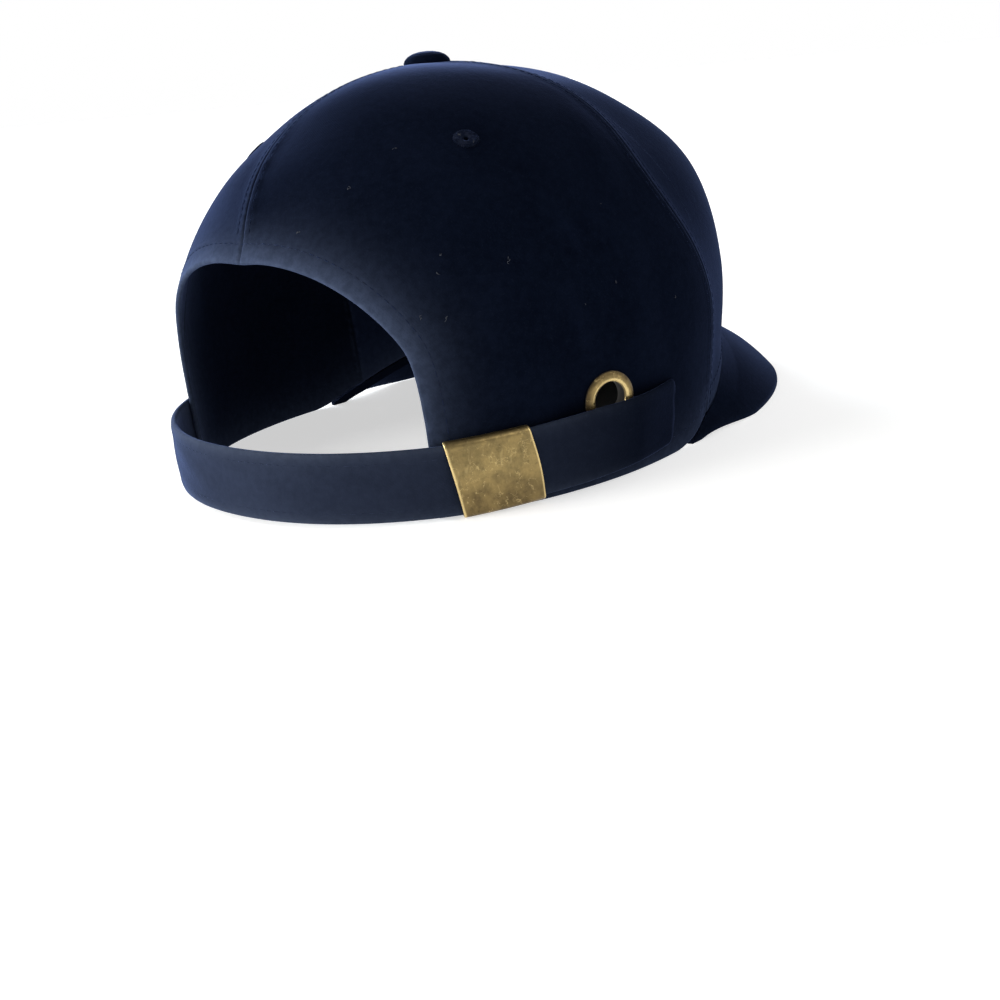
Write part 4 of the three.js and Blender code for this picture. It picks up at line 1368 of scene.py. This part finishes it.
def materials():
    """Materials of the cap, made once and found by name afterwards."""
    colours = bpy.context.scene.cap_colours
    makers = {
        "brushed_cloth": lambda: brushed_cloth(
            "brushed_cloth", colours.cloth_deep_and_shade, colours.cloth, colours.cloth_worn_lit,
            CLOTH_WEAR_AND_GLOW["crown"], colours),
        "strap_cloth": lambda: brushed_cloth(
            "strap_cloth", colours.strap_deep, colours.strap, colours.strap_worn_lit,
            CLOTH_WEAR_AND_GLOW["strap"], colours),
        "crown_thread": lambda: tonal_thread("crown_thread", colours.cloth, colours.cloth_lit_tone, colours),
        "hem_thread": lambda: tonal_thread("hem_thread", colours.cloth_lit_tone, colours.eyelet, colours),
        "strap_thread": lambda: tonal_thread("strap_thread", colours.strap_deep, colours.strap, colours),
        "eyelet_thread": lambda: tonal_thread("eyelet_thread", colours.cloth, colours.eyelet, colours),
        "worn_brass": lambda: worn_brass(colours),
        "pale_lint": lambda: pale_lint(colours),
    }
    return {name: bpy.data.materials.get(name) or make() for name, make in makers.items()}


OPTIONS = {"REGISTER", "UNDO"}
DONE = {"FINISHED"}


class CAP_OT_crown(bpy.types.Operator):
    """Build the three crown panels, with the holes of the grommet and the eyelets"""

    bl_idname = "cap.crown"
    bl_label = "Crown panels"
    bl_options = OPTIONS

    def execute(self, context):
        finish = materials()
        right = crown_panel("right_panel", rear_seam, front_seam, PANEL["side_columns"])
        left = crown_panel("left_panel", left_seam, rear_seam, PANEL["side_columns"])
        punch_hole(right, *grommet_axes(), GROMMET["hole_radius"])
        for panel, side in ((right, 1), (left, -1)):
            punch_hole(panel, *eyelet_axes(side), EYELET["hole_radius"])
        front = crown_panel("front_panel", front_seam, far_left_seam, PANEL["front_columns"])
        for panel, node in ((right, "crown_right"), (left, "crown_left"), (front, "crown_front")):
            crown_marks(panel)
            place_piece(panel, finish["brushed_cloth"], CLOTH_SLOT, node)
        return DONE


class CAP_OT_peak(bpy.types.Operator):
    """Build the peak with its rolled rim"""

    bl_idname = "cap.peak"
    bl_label = "Peak"
    bl_options = OPTIONS

    def execute(self, context):
        peak, rim = peak_solid()
        points = mesh_points(peak)
        off_rim = nearest(points, rim)
        mark(peak, "edge", off_rim + PEAK_EDGE_OFF)
        mark(peak, "seam", np.full(len(points), FAR_FROM_SEAM))
        # Painted shade on the peak away from its rim, next to the crown
        mark(peak, "shade", PEAK_SHADE["share"] * smoothstep(off_rim, *PEAK_SHADE["off_rim"]))
        lay_out(peak, points[:, :2])
        place_piece(peak, materials()["brushed_cloth"], CLOTH_SLOT, "peak")
        return DONE


class CAP_OT_button(bpy.types.Operator):
    """Build the cloth-covered button on top"""

    bl_idname = "cap.button"
    bl_label = "Top button"
    bl_options = OPTIONS

    def execute(self, context):
        radius, angle, rise = turned(BUTTON_TABLE, TURNED_SEGMENTS, closed=False, steps=6)
        pleat = sum(row["depth"] * np.cos(row["count"] * angle + row["phase"]) for row in BUTTON_PLEATS)
        radius = radius + pleat * smoothstep(radius, *PLEAT_RADII) * (rise > 0)
        points = ring_points(radius, angle, rise + APEX_HEIGHT)
        index = grid_index(points)
        last = np.append(index[-1], index[-1][0])
        faces = [*grid_quads(index, wrap_columns=True), list(index[0][::-1])]
        faces += [[last[i], last[i + 1], index.size] for i in range(TURNED_SEGMENTS)]
        points = np.vstack([points.reshape(-1, 3), [[0, 0, APEX_HEIGHT + BUTTON_TOP]]])
        button = build_mesh("cloth_button", points + BUTTON_SHIFT, faces)
        points = mesh_points(button)
        mark(button, "edge", np.full(len(points), FAR_FROM_EDGE))
        mark(button, "seam", np.full(len(points), FAR_FROM_SEAM))
        lay_out(button, points[:, :2])
        place_piece(button, materials()["brushed_cloth"], CLOTH_SLOT, "top_button")
        return DONE


class CAP_OT_strap(bpy.types.Operator):
    """Build the strap with its tail"""

    bl_idname = "cap.strap"
    bl_label = "Strap"
    bl_options = OPTIONS

    def execute(self, context):
        strap = strap_solid()
        points = mesh_points(strap)
        turn, height = np.degrees(np.arctan2(-points[:, 0], points[:, 1])), points[:, 2]
        low, high = strap_edges(turn)
        mark(strap, "edge", np.maximum(np.minimum(height - low, high - height), 0) + STRAP_EDGE_OFF)
        mark(strap, "seam", np.full(len(points), FAR_FROM_SEAM))
        # Painted shade towards the strap's tail
        mark(strap, "shade", np.interp(turn, STRAP_PAINTED_SHADE["turn"], STRAP_PAINTED_SHADE["shade"]))
        lay_out(strap, np.stack([np.radians(turn) * STRAP["radius"], height], axis=1))
        place_piece(strap, materials()["strap_cloth"], CLOTH_SLOT, "strap")
        return DONE


class CAP_OT_brass(bpy.types.Operator):
    """Build the clasp and the grommet"""

    bl_idname = "cap.brass"
    bl_label = "Clasp and grommet"
    bl_options = OPTIONS

    def execute(self, context):
        brass = materials()["worn_brass"]
        clasp, in_from_end = clasp_solid()
        height = mesh_points(clasp)[:, 2]
        # Painted shade: darker, duller brass towards the clasp's foot, and a little towards its head
        foot = CLASP_DARKENING["foot"] * (1 - smoothstep(height, *CLASP_DARKENING["foot_heights"]))
        # Clasp ends: rubbed, partly a painted highlight on the rolled ends
        mark(clasp, "edge", in_from_end)
        mark(clasp, "dull", foot + CLASP_DARKENING["head"] * smoothstep(height, *CLASP_DARKENING["head_heights"]))
        place_piece(clasp, brass, BRASS_SLOT, "clasp")

        radius, angle, rise = turned(GROMMET_TABLE, TURNED_SEGMENTS, closed=True)
        local = ring_points(radius, angle, rise)
        centre, axes = grommet_axes()
        sized = local.reshape(-1, 3) * np.array([GROMMET["scale"], GROMMET["scale"], 1])
        faces = grid_quads(grid_index(local), True, True)
        ring = build_mesh("brass_grommet", sized @ axes + centre, faces)
        # Rubbed and dull parts of the grommet, and its painted shade
        worn = GROMMET_WEAR_AND_SHADE
        reach, rise = np.broadcast_to(radius, local.shape[:2]), local[..., 2]
        # Grommet's inner rim: rubbed, partly a painted highlight
        off_rub = np.abs(reach - worn["rubbed_radius"]) * worn["rubbed_slope"]
        mark(ring, "edge", off_rub + worn["below"] * (rise < worn["face_rise"]))
        dull = smoothstep(reach, *worn["dull_radii"]) + (rise < worn["dull_rise"])
        mark(ring, "dull", worn["dull"] * dull)
        # Painted shade inside the grommet's barrel
        mark(ring, "shade", 1 - smoothstep(rise, *worn["black_rises"]))
        place_piece(ring, brass, BRASS_SLOT, "grommet")
        return DONE


class CAP_OT_stitching(bpy.types.Operator):
    """Sew the seams, the hem and the strap"""

    bl_idname = "cap.stitching"
    bl_label = "Stitching"
    bl_options = OPTIONS

    def execute(self, context):
        finish, sizes = materials(), context.scene.cap_stitching
        rise = mm(sizes.thread) * THREAD_RISE
        seams = seam_rows(rear_seam, SEAM_ROW["rear_low"], rise)
        seams += seam_rows(front_seam, SEAM_ROW["front_low"], rise)
        seams += seam_rows(left_seam, SEAM_ROW["front_low"], rise)
        seams.append(hem_row(*HEM_ROW["front"], PEAK["cove_rise"] + HEM_ROW["above_cove"], rise))
        hem = [hem_row(*HEM_ROW["rear"], HEM_RELIEF["row"], rise)]
        from_turn = STRAP["start_turn"] + STRAP_ROW["start_in"]
        strap = strap_rows(from_turn, CLASP["from_turn"] - STRAP_ROW["clasp_off"], rise)
        grain = dict(pitch=sizes.pitch, run=sizes.run, width=sizes.thread, thickness=sizes.thread)
        sew_rows("crown_stitches", seams, finish["crown_thread"], **grain)
        sew_rows("hem_stitches", hem, finish["hem_thread"], **grain)
        sew_rows("strap_stitches", strap, finish["strap_thread"], **grain)
        return DONE


class CAP_OT_eyelets(bpy.types.Operator):
    """Embroider the eyelets of the side panels round their holes"""

    bl_idname = "cap.eyelets"
    bl_label = "Eyelets"
    bl_options = OPTIONS

    def execute(self, context):
        sizes = context.scene.cap_stitching
        satin = (mm(sizes.eyelet) / 2 - EYELET["hole_radius"]) * EYELET["satin"]
        radius = EYELET["hole_radius"] + satin / 2 - EYELET["draw_in"]
        angle = np.linspace(0, 2 * np.pi, EYELET["points"])
        circle = ring_points(radius, angle, EYELET["rise"])
        rows = []
        for side in (1, -1):
            centre, axes = eyelet_axes(side)
            rows.append((circle @ axes + centre, np.repeat(axes[2:], len(circle), axis=0)))
        sew_rows("eyelet_stitches", rows, materials()["eyelet_thread"], width=satin / 1000, **EYELET_GRAIN)
        return DONE


class CAP_OT_lint(bpy.types.Operator):
    """Scatter the few bits of lint that cling to the cloth"""

    bl_idname = "cap.lint"
    bl_label = "Lint"
    bl_options = OPTIONS

    def execute(self, context):
        chance = np.random.default_rng(LINT["seed"])
        rows, share = [], np.linspace(0, 1, LINT["points"])
        for spot in LINT_TABLE:
            centre, axes = cloth_axes(spot["turn"], np.array(float(spot["lift"])))
            for _ in range(LINT["fibres"]):
                first = chance.uniform(0, 360)
                heading = np.radians(first + chance.uniform(-LINT["curl"], LINT["curl"]) * share)
                step = chance.uniform(*LINT["step"]) * spot["spread"] / len(share)
                way = np.stack([np.cos(heading), np.sin(heading), 0 * share], axis=1)
                fibre = np.cumsum(way, axis=0) * step
                fibre[:, :2] += chance.uniform(-LINT["scatter"], LINT["scatter"], 2) * spot["spread"]
                fibre[:, 2] = chance.uniform(*LINT["rise"])
                rows.append((fibre @ axes + centre, np.repeat(axes[2:], len(share), axis=0)))
        sew_rows("lint_bits", rows, materials()["pale_lint"], **LINT_GRAIN)
        return DONE


class CAP_OT_stage(bpy.types.Operator):
    """Lay the pale floor and set the camera and the soft lights"""

    bl_idname = "cap.stage"
    bl_label = "Stage"
    bl_options = OPTIONS

    def execute(self, context):
        scene, stage = context.scene, context.scene.cap_stage
        self.floor(stage)
        self.camera(scene, stage)
        for row in LIGHT_TABLE:
            self.sun(row, getattr(stage, row["name"]), stage.spread)
        scene.world = self.room(stage)
        scene.view_settings.view_transform = "Standard"
        return DONE

    def room(self, stage):
        """Bright room: white along the horizon, dimmer straight above and dark high up on the near side."""
        world = bpy.data.worlds.new("room")
        world.use_nodes = True
        kit = NodeKit(world.node_tree)
        way = kit.add("ShaderNodeTexCoord", output="Generated")
        high = kit.add("ShaderNodeSeparateXYZ", None, {"Vector": way}).out("Z")
        sockets = {0: way, 1: NEAR_SIDE}
        near = kit.add("ShaderNodeVectorMath", {"operation": "DOT_PRODUCT"}, sockets, output="Value")
        dim = kit.ramp(high, *ROOM["dim_high"]) * kit.ramp(near, *ROOM["dim_near"])
        tone = kit.ramp(high, *ROOM["ceiling_high"], 1.0, stage.ceiling)
        light = tone * (1 - dim) + dim * stage.near_side
        sky = kit.add("ShaderNodeBackground", None, {"Color": light, "Strength": 1.0})
        kit.add("ShaderNodeOutputWorld", None, {"Surface": sky})
        return world

    def floor(self, stage):
        """Wide pale floor that fades into the bright room."""
        form = bmesh.new()
        bmesh.ops.create_circle(form, cap_ends=True, radius=PAPER["radius"], segments=PAPER["segments"])
        mesh = bpy.data.meshes.new("paper_floor")
        form.to_mesh(mesh)
        form.free()
        mesh.materials.append(stage_paper(stage.glow))
        floor = add_object("paper_floor", mesh)

    def camera(self, scene, stage):
        lens = bpy.data.cameras.new("camera")
        lens.lens = stage.lens
        lens.sensor_width = 36.0
        eye = add_object("camera", lens)
        eye.location = stage.camera
        facing = Vector(stage.target) - Vector(stage.camera)
        lean = Matrix.Rotation(stage.roll, 4, "Z")
        eye.rotation_euler = (facing.to_track_quat("-Z", "Y").to_matrix().to_4x4() @ lean).to_euler()
        lens.clip_start = 0.01
        scene.camera = eye

    def sun(self, row, power, spread):
        lamp = bpy.data.lights.new(row["name"], "SUN")
        lamp.angle = spread
        lamp.energy = power
        lamp.color = row["tint"]
        thing = add_object(row["name"], lamp)
        thing.rotation_euler = Vector(row["way"]).to_track_quat("Z", "Y").to_euler()


OPERATORS = (
    CAP_OT_crown, CAP_OT_peak, CAP_OT_button, CAP_OT_strap, CAP_OT_brass, CAP_OT_stitching,
    CAP_OT_eyelets, CAP_OT_lint, CAP_OT_stage,
)
SETTINGS = {"cap_stitching": CapStitching, "cap_colours": CapColours, "cap_stage": CapStage}


class CAP_PT_build(bpy.types.Panel):
    """Sidebar list of the steps that build the cap"""

    bl_idname = "CAP_PT_build"
    bl_label = "Cap"
    bl_space_type = "VIEW_3D"
    bl_region_type = "UI"
    bl_category = "Cap"

    def draw(self, context):
        for step in OPERATORS:
            self.layout.operator(step.bl_idname)
        for name in SETTINGS:
            box = self.layout.box()
            group = getattr(context.scene, name)
            for key in group.__annotations__:
                box.prop(group, key)


def register():
    for kind in (*SETTINGS.values(), *OPERATORS, CAP_PT_build):
        bpy.utils.register_class(kind)
    for name, kind in SETTINGS.items():
        setattr(bpy.types.Scene, name, PointerProperty(type=kind))


def unregister():
    for name in SETTINGS:
        delattr(bpy.types.Scene, name)
    for kind in (CAP_PT_build, *reversed(OPERATORS), *SETTINGS.values()):
        bpy.utils.unregister_class(kind)


def main():
    register()
    bpy.ops.cap.crown()
    bpy.ops.cap.peak()
    bpy.ops.cap.button()
    bpy.ops.cap.strap()
    bpy.ops.cap.brass()
    bpy.ops.cap.stitching()
    bpy.ops.cap.eyelets()
    bpy.ops.cap.lint()
    bpy.ops.cap.stage()
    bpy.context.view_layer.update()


if __name__ == "__main__":
    main()
